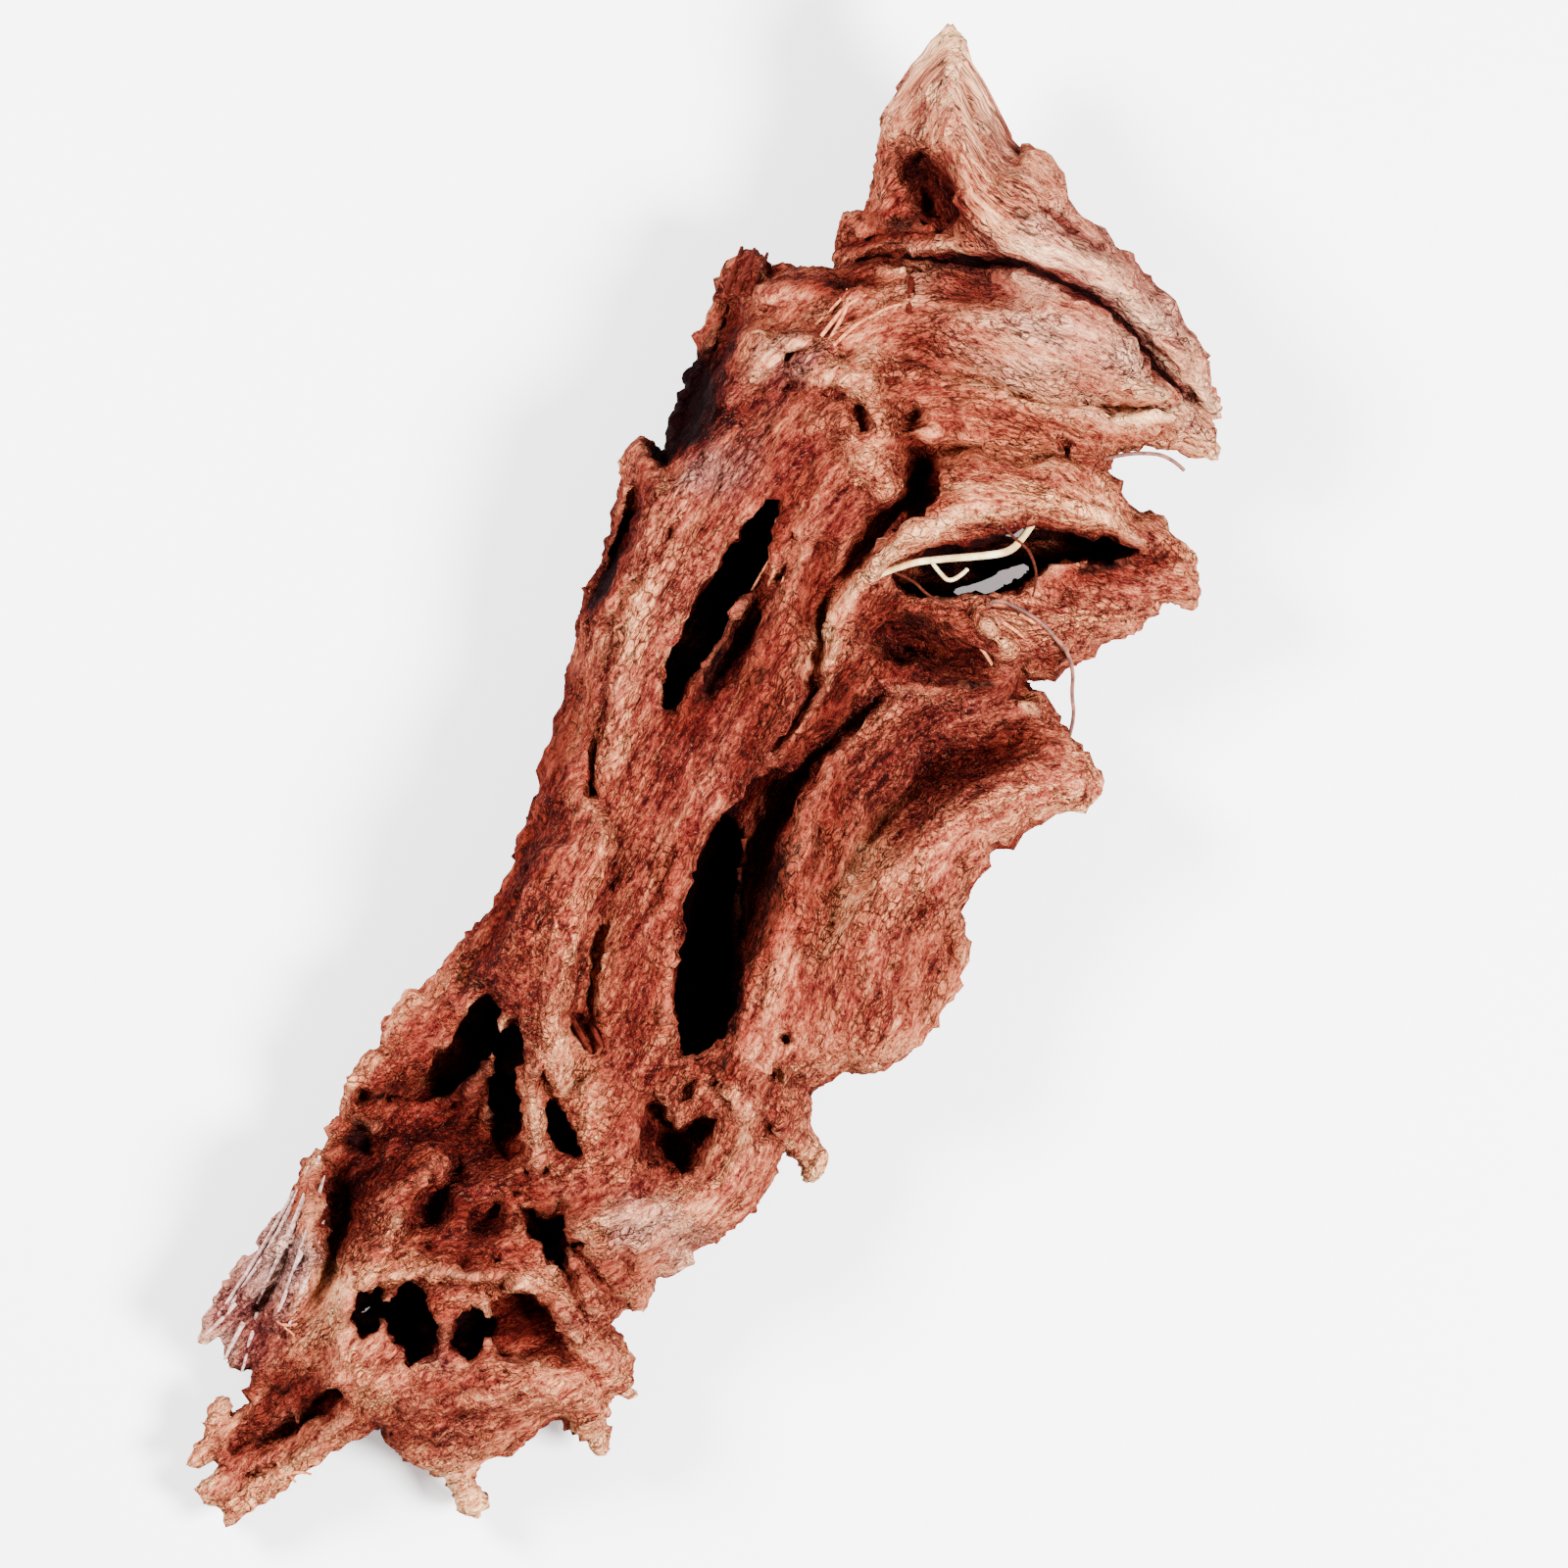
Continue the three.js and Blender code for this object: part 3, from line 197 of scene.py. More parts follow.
# Ridges on the front: [across, down, height, half width], or with a half width on the left of
# the way and another on its right.
CRESTS = {
    "head_ridge": [
        [968, 34, 205, 24, 22], [966, 95, 250, 44, 46], [974, 150, 274, 50, 34],
        [996, 206, 292, 50, 20], [1034, 246, 296, 60, 26], [1100, 275, 288, 44, 40],
        [1180, 330, 254, 34, 40], [1232, 408, 188, 16, 26],
    ],
    "head_left_face": [[932, 80, 218, 24], [914, 120, 222, 24], [904, 150, 206, 16]],
    "broad_face": [
        [1010, 330, 262, 50], [1090, 350, 280, 70], [1150, 380, 256, 46], [1205, 430, 196, 26],
    ],
    "under_band": [
        [950, 436, 238, 34], [1040, 440, 238, 30], [1100, 452, 216, 26], [1156, 446, 190, 16],
    ],
    "lowest_band": [[985, 484, 214, 22], [1050, 482, 208, 20], [1112, 486, 190, 16]],
    "broken_spike": [
        [768, 258, 124, 12], [746, 300, 138, 16], [728, 350, 128, 14], [708, 395, 84, 10],
    ],
    "shoulder": [[790, 296, 206, 34], [850, 300, 222, 30], [905, 318, 240, 28]],
    "knot_left": [[748, 402, 220, 34], [786, 368, 246, 34], [818, 352, 240, 22]],
    "knot_right": [[838, 378, 262, 34], [878, 400, 274, 30], [898, 440, 268, 26]],
    "tongue": [[858, 436, 266, 40, 40], [886, 468, 278, 30, 46], [914, 508, 262, 12, 26]],
    "left_strand": [
        [748, 446, 226, 40], [700, 500, 244, 46], [672, 566, 250, 46], [645, 650, 238, 44],
        [628, 740, 230, 40], [620, 820, 226, 30],
    ],
    "left_spike": [[654, 450, 140, 12], [646, 500, 176, 16], [634, 548, 190, 14]],
    "left_edge": [
        [600, 610, 150, 10], [602, 660, 176, 16], [594, 720, 180, 16], [580, 780, 172, 14],
    ],
    "middle_strand": [
        [846, 484, 250, 34], [832, 560, 246, 44], [800, 660, 240, 46], [752, 750, 238, 44],
        [714, 830, 236, 22, 50], [692, 890, 232, 10, 54], [684, 980, 226, 8, 50],
        [678, 1044, 210, 10, 26], [681, 1080, 188, 6, 10],
    ],
    "left_low_strand": [
        [640, 880, 222, 44], [628, 980, 214, 50], [618, 1090, 212, 50], [600, 1180, 206, 44],
    ],
    "arch_band": [
        [842, 700, 226, 30, 20], [848, 634, 244, 34, 20], [872, 588, 262, 44, 18],
        [930, 548, 272, 50, 18], [1000, 518, 268, 50, 26], [1070, 514, 260, 40, 22],
        [1130, 534, 238, 24, 14], [1164, 556, 212, 14, 9],
    ],
    "jaw_piece": [
        [1004, 634, 206, 18], [1050, 640, 200, 26], [1105, 628, 182, 26], [1152, 612, 168, 20],
    ],
    "jaw_hook": [
        [1172, 540, 186, 14], [1206, 572, 180, 14], [1206, 604, 166, 12], [1160, 594, 172, 12],
    ],
    "bowl_rim": [
        [880, 706, 212, 14, 24], [950, 706, 204, 12, 22], [1012, 697, 190, 10, 18],
        [1042, 690, 176, 9],
    ],
    "fan_top": [[1046, 712, 176, 12], [1080, 748, 156, 12]],
    "fan_rim": [
        [1112, 806, 160, 16, 26], [1040, 814, 196, 24, 44], [970, 850, 208, 34, 60],
        [915, 915, 214, 50, 70], [880, 1000, 214, 60, 70], [840, 1066, 200, 60, 50],
    ],
    "fan_rib": [
        [838, 772, 206, 30, 24], [812, 850, 210, 40, 26], [796, 930, 212, 50, 24],
        [780, 1040, 210, 60, 16],
    ],
    "sharp_fin": [
        [602, 820, 246, 10, 34], [616, 858, 264, 10, 70], [600, 915, 262, 10, 90],
        [584, 975, 256, 10, 84], [571, 1040, 248, 11, 44], [574, 1108, 226, 14, 16],
    ],
    "cave_rib": [[502, 1046, 190, 10, 12], [486, 1090, 172, 12, 14], [476, 1140, 140, 22, 22]],
    "cave_pillar": [
        [562, 1030, 236, 14, 16], [552, 1080, 224, 14, 12], [542, 1130, 208, 14, 10],
        [548, 1190, 194, 26, 18],
    ],
    "scoop_edge": [[366, 1098, 150, 12], [352, 1138, 142, 10], [384, 1152, 150, 12]],
    "diagonal_ridge": [
        [446, 1186, 178, 16, 22], [412, 1238, 188, 18, 34], [384, 1290, 192, 20, 30],
        [360, 1330, 186, 22, 16], [350, 1400, 168, 24, 26],
    ],
    "flake": [
        [321, 1176, 158, 12, 12], [318, 1236, 166, 12, 36], [322, 1290, 166, 16, 46],
        [296, 1340, 150, 30, 30],
    ],
    "flake_face": [
        [286, 1262, 146, 16], [250, 1316, 126, 16], [214, 1356, 98, 9], [246, 1388, 100, 10],
    ],
    "cave_brow": [
        [366, 1318, 188, 20, 10], [404, 1298, 198, 30, 10], [460, 1302, 202, 34, 10],
        [520, 1300, 202, 36, 12], [566, 1322, 200, 36, 14], [594, 1364, 192, 30, 16],
        [628, 1404, 160, 24, 18],
    ],
    "cave_sill": [
        [372, 1400, 178, 22, 34], [440, 1402, 188, 18, 44], [520, 1404, 188, 28, 44],
        [590, 1412, 176, 26, 34],
    ],
    "base_lobe": [
        [402, 1456, 130, 24], [455, 1458, 142, 30], [530, 1438, 148, 26], [592, 1434, 138, 20],
    ],
    "base_spike_left": [[468, 1492, 108, 14], [484, 1544, 70, 6]],
    "base_spike_right": [[594, 1448, 112, 11], [611, 1472, 80, 6]],
    "arm_rim": [
        [352, 1442, 154, 14], [322, 1484, 124, 14, 24], [268, 1524, 98, 14, 20],
        [234, 1548, 80, 12],
    ],
    "arm_back": [[322, 1406, 120, 8], [284, 1440, 108, 7], [232, 1452, 92, 7], [208, 1490, 78, 8]],
    "lower_ridge": [[726, 1224, 204, 16, 26], [650, 1236, 226, 16, 26], [588, 1246, 222, 14, 22]],
    "round_lobe": [
        [742, 1108, 206, 34, 18], [768, 1156, 200, 44, 16], [744, 1206, 194, 40, 16],
        [696, 1244, 188, 26, 16],
    ],
    "under_lobe": [[600, 1300, 178, 20], [650, 1292, 164, 16], [702, 1288, 132, 7]],
    "side_lobe": [[600, 1336, 188, 16], [642, 1330, 156, 12]],
    "side_horn": [
        [798, 1084, 202, 16], [810, 1128, 178, 12], [821, 1164, 152, 9], [831, 1192, 118, 6],
    ],
}

# Valleys and ledges on the front: [across, down, depth, half width], or with two half widths.
# A ledge is a valley with one side much narrower than the other.
VALLEYS = {
    "left_of_head_ridge": [
        [905, 160, 24, 22], [938, 188, 56, 36], [955, 214, 72, 40, 34], [966, 230, 60, 20, 18],
    ],
    "under_head_crack": [
        [880, 284, 10, 6, 24], [960, 286, 26, 6, 36], [1010, 288, 32, 6, 42],
        [1060, 296, 12, 6, 26],
    ],
    "face_foot": [
        [910, 362, 14, 26, 8], [985, 392, 34, 34, 7], [1060, 408, 34, 34, 7],
        [1130, 424, 30, 26, 7], [1200, 420, 16, 14, 6],
    ],
    "band_foot": [[930, 462, 24, 24, 8], [1000, 466, 26, 18, 7], [1090, 474, 20, 14, 6]],
    "under_tongue": [
        [936, 470, 40, 14, 20], [938, 510, 66, 14, 26], [900, 540, 62, 20, 22],
        [862, 580, 52, 26, 16], [836, 640, 36, 26, 14],
    ],
    "behind_arch": [[838, 560, 26, 20], [826, 620, 34, 22], [826, 690, 30, 22]],
    "beside_middle": [
        [900, 712, 26, 20], [850, 748, 44, 22], [806, 796, 58, 26, 24], [774, 850, 84, 36, 40],
        [762, 905, 96, 38, 20], [756, 965, 74, 26, 16],
    ],
    "fan_trough": [
        [1076, 738, 20, 18, 22], [1020, 758, 40, 40, 34], [960, 786, 46, 44, 38],
        [905, 834, 44, 40, 38], [866, 892, 30, 32, 34], [838, 960, 16, 24, 28],
    ],
    "slot_slope": [[800, 560, 30, 30, 14], [766, 622, 36, 34, 14], [728, 690, 26, 28, 12]],
    "left_crease": [
        [640, 600, 14, 14, 10], [628, 660, 16, 14, 10], [612, 740, 14, 14, 12],
        [602, 806, 46, 12, 9],
    ],
    "behind_spike": [
        [744, 318, 44, 16], [722, 380, 64, 22], [700, 430, 70, 20], [688, 462, 50, 12],
    ],
    "pocket": [[648, 500, 50, 10, 12], [634, 556, 80, 10, 14], [616, 604, 70, 12, 12]],
    "bowl": [
        [884, 650, 46, 26, 24], [930, 656, 84, 40, 36], [975, 668, 66, 34, 26],
        [1010, 680, 34, 18, 14],
    ],
    "fin_valley": [
        [550, 836, 34, 12, 14], [534, 880, 46, 20], [514, 930, 44, 20], [496, 975, 34, 18],
        [470, 1004, 20, 12],
    ],
    "scoop": [[378, 1166, 26, 26], [356, 1210, 34, 30], [348, 1256, 26, 22], [336, 1300, 14, 14]],
    "cave_floor": [[410, 1136, 16, 30], [460, 1140, 26, 34], [510, 1170, 26, 26]],
    "bottom_bowl": [
        [664, 1132, 50, 22], [676, 1162, 84, 33], [700, 1172, 84, 33], [722, 1148, 60, 20],
    ],
    "lower_scoop": [[510, 1372, 30, 18], [548, 1376, 44, 20], [576, 1386, 30, 14]],
    "arm_channel": [[336, 1440, 36, 14], [284, 1462, 34, 16], [236, 1484, 22, 12]],
    "side_valley": [[640, 1276, 30, 10, 14], [700, 1262, 22, 8, 10]],
    "under_ridge": [[590, 1270, 26, 8, 14], [618, 1318, 26, 12], [650, 1350, 20, 10]],
}

# Strands on the back, which faces down. The three lowest places are the feet.
KEELS = {
    "spine": [
        [966, 80, 150, 40], [945, 230, 70, 60], [925, 350, -16, 58], [880, 470, 52, 66],
        [800, 600, 40, 70], [720, 740, 52, 70], [640, 880, 38, 72], [560, 1010, 48, 70],
        [480, 1150, 32, 66], [420, 1290, -16, 56], [392, 1380, 42, 56], [310, 1456, 40, 40],
        [232, 1528, 34, 26],
    ],
    "head": [[1205, 410, 96, 40], [1090, 345, 56, 62], [1000, 430, 58, 56], [960, 545, 62, 52]],
    "jaw": [[960, 560, 66, 40], [1070, 590, 66, 40], [1185, 585, 96, 28]],
    "fan": [
        [1090, 790, 84, 34], [985, 845, 42, 52], [900, 935, -16, 54], [860, 1030, 42, 54],
        [775, 1110, 52, 54], [720, 1200, 54, 48], [640, 1300, 62, 42], [565, 1392, 52, 44],
        [470, 1458, 46, 34],
    ],
    "left_side": [
        [606, 680, 88, 26], [575, 800, 84, 28], [498, 950, 80, 34], [404, 1080, 80, 34],
        [340, 1215, 66, 30], [262, 1322, 60, 24],
    ],
    "belly": [
        [830, 470, 60, 90], [790, 620, 52, 90], [760, 780, 48, 92], [735, 960, 48, 96],
        [700, 1130, 54, 88],
    ],
    "under_fan": [[800, 800, 66, 60], [920, 790, 72, 50], [1030, 770, 80, 40]],
}

# Hollows inside the wood: [across, down, height, radius]. tall stretches a hollow upward.
HOLLOWS = [
    {"name": "slot_undercut", "tall": 1.1, "way": [[766, 590, 120, 28], [716, 662, 114, 26]]},
    {"name": "canyon_undercut", "tall": 1.1, "way": [[726, 900, 112, 30], [720, 1030, 110, 34]]},
    {"name": "arch_cave", "tall": 1.0, "way": [[985, 560, 125, 38], [1070, 552, 128, 38]]},
    {"name": "arch_way_out", "tall": 6, "way": [[975, 604, 60, 9], [1012, 596, 60, 9], [1046, 581, 60, 9]]},
    {"name": "knot_hole", "tall": 1.6, "way": [[588, 1040, 196, 10], [606, 1060, 206, 12]]},
    {"name": "scoop_cave", "tall": 1.2, "way": [[346, 1178, 104, 17], [374, 1186, 108, 17]]},
    {"name": "brow_side_cave", "tall": 2.2, "way": [[374, 1338, 140, 15]]},
    {"name": "brow_side_way_out", "tall": 8, "way": [[372, 1340, 60, 7]]},
    {"name": "third_cave", "tall": 0.8, "way": [[530, 1352, 172, 20], [566, 1372, 168, 18]]},
    {"name": "upper_pit", "tall": 1.8, "way": [[440, 1204, 156, 9], [446, 1240, 150, 13]]},
    {"name": "lower_pit", "tall": 1.8, "way": [[492, 1246, 154, 12], [502, 1240, 150, 12]]},
    {"name": "arm_hole", "tall": 1.5, "way": [[326, 1434, 120, 13], [344, 1422, 130, 11]]},
    {"name": "arm_mouth", "tall": 1.5, "way": [[270, 1418, 105, 13]]},
]

# Steep hollows in the front, each with the outline of its mouth and the height of its floor.
WELLS = {
    "slot": (96, [
        [798, 512], [782, 508], [766, 528], [752, 545], [738, 562], [722, 592], [704, 622],
        [690, 648], [677, 672], [672, 708], [680, 730], [692, 732], [702, 712], [712, 686],
        [724, 668], [738, 648], [744, 622], [772, 602], [784, 576], [790, 550], [800, 530],
    ]),
    "canyon": (92, [
        [736, 833], [724, 848], [704, 890], [696, 929], [687, 979], [683, 1008], [685, 1040],
        [690, 1075], [712, 1078], [735, 1060], [742, 1030], [746, 990], [744, 950], [748, 910],
        [756, 870], [758, 848], [748, 836],
    ]),
    "head_recess": (196, [
        [894, 166], [912, 158], [940, 166], [957, 178], [974, 197], [981, 222], [968, 236],
        [940, 235], [912, 232], [894, 222], [889, 204], [890, 185],
    ]),
    "beside_tongue": (200, [
        [934, 446], [950, 456], [962, 476], [961, 506], [948, 528], [926, 542], [908, 548],
        [922, 524], [932, 500], [926, 474],
    ]),
    "third_hollow": (126, [
        [502, 1324], [530, 1318], [558, 1330], [574, 1350], [577, 1376], [560, 1384],
        [530, 1386], [508, 1382], [500, 1356],
    ]),
    "scoop_hollow": (106, [
        [334, 1156], [352, 1147], [370, 1154], [378, 1177], [370, 1204], [352, 1218],
        [338, 1208], [330, 1184],
    ]),
    "canyon_side": (146, [
        [736, 830], [762, 800], [790, 782], [816, 790], [802, 826], [784, 876], [774, 922],
        [763, 968], [758, 1008], [749, 1050], [732, 1062], [728, 1000], [730, 900],
    ]),
    "arch_slot": (104, [
        [905, 590], [922, 573], [945, 561], [980, 556], [1002, 556], [1016, 544], [1042, 537],
        [1070, 535], [1096, 543], [1122, 548], [1150, 556], [1164, 564], [1132, 575],
        [1102, 573], [1068, 577], [1056, 592], [1040, 605], [1000, 608], [960, 611], [925, 606],
    ]),
    "finger_cave": (84, [
        [502, 1016], [484, 1024], [470, 1048], [458, 1074], [444, 1074], [438, 1096],
        [408, 1102], [403, 1094], [396, 1102], [396, 1118], [430, 1122], [462, 1112],
        [488, 1090], [508, 1062], [512, 1030],
    ]),
    "tall_cave": (84, [
        [528, 1040], [514, 1052], [506, 1080], [502, 1120], [506, 1160], [516, 1180],
        [530, 1174], [536, 1140], [529, 1108], [537, 1078], [541, 1052],
    ]),
    "fin_cave": (96, [
        [561, 1116], [554, 1132], [564, 1160], [577, 1181], [596, 1180], [592, 1158],
        [580, 1136], [571, 1119],
    ]),
    "brow_cave": (82, [
        [417, 1304], [402, 1318], [394, 1344], [400, 1368], [410, 1378], [418, 1394],
        [428, 1388], [446, 1378], [450, 1362], [444, 1340], [436, 1322],
    ]),
    "brow_cave_left": (70, [
        [386, 1308], [364, 1316], [360, 1340], [370, 1362], [386, 1356], [392, 1328],
    ]),
    "second_cave": (92, [
        [480, 1330], [464, 1346], [462, 1370], [478, 1388], [494, 1378], [501, 1352], [494, 1336],
    ]),
    "third_cave": (120, [
        [530, 1338], [552, 1342], [570, 1354], [576, 1370], [566, 1368], [548, 1352], [534, 1350],
    ]),
    "cleft": (90, [
        [528, 1226], [540, 1232], [556, 1246], [574, 1240], [584, 1252], [578, 1272], [572, 1296],
        [556, 1282], [540, 1258],
    ]),
}

# Dried rootlets: the ways of each, of [across, down, height, radius].
ROOTLETS = {
    "pale_rootlet": [
        [
            [896, 588, 236, 5], [925, 576, 238, 5], [960, 572, 234, 5], [1000, 569, 229, 5.4],
            [1030, 565, 224, 5.4], [1043, 549, 218, 5.4], [1056, 530, 212, 5.4],
            [1062, 512, 208, 5.4],
        ],
        [[948, 573, 235, 3], [956, 584, 228, 3], [970, 598, 220, 3], [986, 582, 212, 3]],
    ],
    "hanging_rootlet": [
        [
            [1004, 638, 140, 3], [1006, 620, 190, 3], [1016, 612, 204, 3], [1040, 622, 203, 3],
            [1062, 636, 199, 3], [1076, 652, 190, 3], [1089, 666, 176, 3], [1095, 688, 152, 3],
            [1093, 708, 134, 3], [1097, 732, 118, 3], [1091, 752, 106, 3],
        ],
    ],
    "edge_rootlet": [
        [
            [1104, 474, 172, 3], [1130, 468, 178, 3], [1160, 463, 182, 3], [1192, 466, 178, 3],
            [1207, 481, 170, 3],
        ],
    ],
}

# Loose fibres on the front: the colour of a group, and its ways of [across, down, height above
# the wood, radius].
FIBRES = {
    "thin_rootlets": ("4a2318", [
        [
            [1022, 537, 16, 1.3], [1030, 550, 40, 1.5], [1045, 560, 60, 1.5], [1053, 575, 60, 1.5],
            [1057, 592, 20, 1.3], [1053, 609, 4, 1.1],
        ],
        [
            [908, 584, 3, 1.3], [930, 592, 14, 1.5], [945, 608, 12, 1.5], [962, 616, 6, 1.4],
            [980, 622, 3, 1.3],
        ],
        [[985, 628, 4, 1.2], [995, 608, 8, 1.4], [1012, 610, 8, 1.4], [1034, 620, 4, 1.2]],
        [[632, 655, 2, 1.0], [622, 662, 6, 1.2], [612, 676, 3, 1.0]],
    ]),
    "torn_fibres": ("c47b52", [
        [[838, 346, 0, 2.0], [850, 330, 7, 2.2], [866, 312, 8, 1.6], [884, 304, 4, 1.0]],
        [[846, 350, 0, 1.8], [858, 330, 9, 2.0], [866, 310, 6, 1.5], [864, 298, 3, 1.0]],
        [[850, 356, 0, 1.8], [866, 340, 6, 2.0], [880, 330, 7, 1.5], [896, 322, 3, 1.0]],
        [[832, 334, 0, 1.5], [846, 322, 5, 1.8], [858, 308, 4, 1.2]],
        [[884, 330, 0, 1.5], [900, 318, 6, 1.8], [918, 314, 4, 1.2]],
        [[772, 628, -30, 2.0], [782, 606, -6, 2.2], [790, 584, 4, 1.5]],
        [[780, 634, -34, 1.8], [794, 612, -8, 2.0], [800, 590, 3, 1.2]],
        [[766, 606, -40, 1.5], [776, 588, -10, 1.8], [790, 566, 3, 1.2]],
        [[286, 1330, 2, 1.6], [280, 1342, 5, 2.0], [290, 1354, 6, 1.8], [304, 1350, 4, 1.2]],
        [[270, 1340, 2, 1.5], [288, 1350, 4, 1.8], [300, 1362, 3, 1.2]],
        [[1000, 640, 3, 1.8], [1016, 652, 8, 2.0], [1030, 668, 4, 1.5]],
        [[1012, 630, 3, 1.8], [1032, 640, 8, 2.2], [1052, 658, 4, 1.5]],
        [[1040, 628, 3, 1.8], [1062, 640, 7, 2.0], [1082, 656, 3, 1.5]],
        [[990, 650, 3, 1.8], [1004, 664, 7, 2.0], [1014, 682, 3, 1.5]],
        [[284, 1508, 2, 2.0], [300, 1500, 6, 2.2], [316, 1506, 3, 1.2]],
        [[282, 1494, 2, 1.6], [292, 1504, 6, 1.8], [300, 1514, 3, 1.2]],
    ]),
    "dark_splinters": ("4c1a12", [
        [[931, 276, 2, 4.0], [929, 298, 4, 5.0], [926, 322, 1, 3.0]],
        [[742, 300, 0, 4.0], [752, 274, 8, 4.5], [757, 252, 4, 2.0]],
        [[752, 300, 0, 4.0], [764, 276, 10, 4.5], [770, 254, 4, 2.0]],
        [[764, 302, 0, 4.0], [776, 280, 8, 4.0], [783, 258, 3, 1.6]],
        [[583, 1036, -20, 3.0], [592, 1052, 0, 4.0], [604, 1072, -6, 2.0]],
        [[600, 1032, -20, 3.0], [606, 1050, 0, 3.6], [616, 1066, -6, 2.0]],
        [[696, 1084, -30, 3.0], [712, 1092, -6, 3.5], [732, 1090, -10, 2.5], [752, 1082, -20, 2.0]],
    ]),
    "flake_fibres": ("b99a90", [
        [[326, 1180, 0, 2.0], [312, 1220, 3, 3.0], [292, 1270, 4, 3.0], [262, 1330, 2, 1.5]],
        [[330, 1200, 0, 2.0], [320, 1240, 3, 3.0], [306, 1285, 4, 3.0], [284, 1340, 2, 1.5]],
        [[316, 1190, 0, 2.0], [296, 1235, 3, 2.5], [272, 1280, 3, 2.5], [236, 1330, 1, 1.5]],
        [[332, 1230, 0, 2.0], [326, 1265, 3, 2.6], [312, 1310, 3, 2.6], [296, 1350, 2, 1.4]],
        [[300, 1216, 0, 2.0], [278, 1256, 3, 2.4], [252, 1300, 3, 2.4], [222, 1342, 1, 1.4]],
        [[240, 1330, 2, 2.5], [222, 1352, 3, 2.5], [205, 1366, 2, 1.2]],
        [[262, 1340, 2, 2.5], [254, 1374, 3, 2.5], [246, 1400, 2, 1.2]],
        [[248, 1350, 2, 2.5], [236, 1372, 3, 2.5], [228, 1388, 2, 1.2]],
    ]),
}

# Cracks in the front: [across, down, depth, half width].
CRACKS = {
    "head_crack": [
        [868, 274, 30, 6], [900, 263, 44, 8], [950, 270, 56, 10], [1005, 274, 60, 9],
        [1050, 276, 34, 5],
        [1100, 298, 34, 6], [1132, 313, 46, 8], [1160, 345, 52, 9], [1182, 380, 56, 12],
        [1206, 400, 50, 9], [1238, 434, 30, 5],
    ],
    "head_groove": [[1063, 220, 12, 5], [1086, 236, 22, 8], [1102, 252, 20, 7], [1122, 264, 10, 4]],
    "head_side_crack": [[1162, 338, 10, 3], [1195, 350, 20, 5], [1224, 366, 12, 4]],
    "face_ledge": [[1086, 392, 8, 5], [1138, 420, 24, 8], [1182, 416, 26, 8], [1218, 404, 12, 5]],
    "tip_line": [[975, 60, 6, 4], [990, 120, 10, 5], [1008, 170, 8, 5], [1030, 205, 6, 4]],
    "left_crack": [[692, 530, 8, 3], [682, 552, 20, 5], [670, 574, 8, 3]],
    "left_crack_low": [[662, 578, 8, 3], [650, 600, 20, 5], [638, 624, 8, 3]],
    "middle_crack": [[858, 672, 8, 3], [825, 715, 22, 6], [800, 752, 20, 5], [778, 772, 8, 3]],
    "fin_crack": [[618, 925, 6, 3], [607, 985, 24, 5], [600, 1042, 12, 4]],
    "bowl_crack": [[676, 1160, 10, 4], [690, 1182, 22, 6], [708, 1192, 10, 4]],
    "plain_slit": [[576, 1268, 10, 3], [590, 1271, 26, 5], [604, 1270, 10, 3]],
    "brow_crack": [[474, 1321, 8, 3], [505, 1318, 20, 4], [538, 1318, 8, 3]],
    "cleft_crack": [[574, 1288, 34, 7], [586, 1320, 24, 5], [602, 1348, 14, 4]],
    "rim_slit": [[963, 948, 8, 3], [969, 966, 22, 5], [977, 988, 8, 3]],
    "rim_crack": [[797, 1083, 8, 3], [788, 1094, 22, 5], [778, 1104, 8, 3]],
    "jaw_crack": [[1008, 722, 14, 5], [1034, 712, 24, 6], [1052, 704, 12, 5]],
    "knot_crack": [[788, 352, 8, 4], [806, 366, 20, 5], [832, 362, 10, 4]],
    "knot_crack_low": [[842, 402, 10, 4], [872, 410, 24, 7], [884, 436, 14, 6]],
    "shoulder_crack": [[752, 330, 14, 8], [790, 338, 20, 8], [838, 334, 14, 6]],
    "block_ledge_a": [[862, 246, 18, 5], [882, 248, 14, 4]],
    "block_ledge_b": [[886, 244, 16, 5], [930, 240, 20, 6], [985, 244, 12, 5]],
    "flake_groove": [[312, 1240, 14, 6], [290, 1296, 20, 7], [262, 1342, 14, 6]],
    "flake_groove_side": [[292, 1236, 10, 5], [262, 1290, 16, 6], [236, 1330, 10, 5]],
    "arm_groove": [[330, 1462, 10, 4], [286, 1494, 14, 5], [240, 1516, 8, 4]],
}

# Shallow dents and pits in the front: [across, down, depth, half width].
DENTS = [
    [1005, 300, 16, 30], [938, 350, 16, 22], [1083, 462, 26, 11], [930, 420, 30, 17],
    [975, 440, 14, 12], [760, 650, 26, 11], [803, 1060, 26, 10], [782, 1158, 34, 14],
    [645, 1290, 20, 9], [625, 640, 22, 14], [700, 1112, 26, 14], [440, 1232, 44, 26],
    [498, 1243, 40, 24], [465, 1190, 26, 22], [440, 1275, 22, 9],
    [474, 1290, 20, 9], [510, 1285, 22, 9], [1067, 670, 22, 14], [1025, 645, 30, 11],
    [372, 1118, 40, 11], [540, 1197, 26, 7], [557, 1196, 26, 7], [530, 1216, 20, 7],
    [575, 1230, 22, 8], [636, 1402, 14, 12], [690, 1075, 20, 10], [735, 1108, 22, 10],
    [808, 395, 16, 12], [880, 425, 18, 13], [715, 475, 14, 12], [852, 462, 18, 14],
    [978, 880, 12, 14], [925, 1020, 12, 14], [590, 1440, 12, 10], [470, 1440, 12, 14],
    [1118, 735, 14, 12], [905, 640, 14, 12],
]

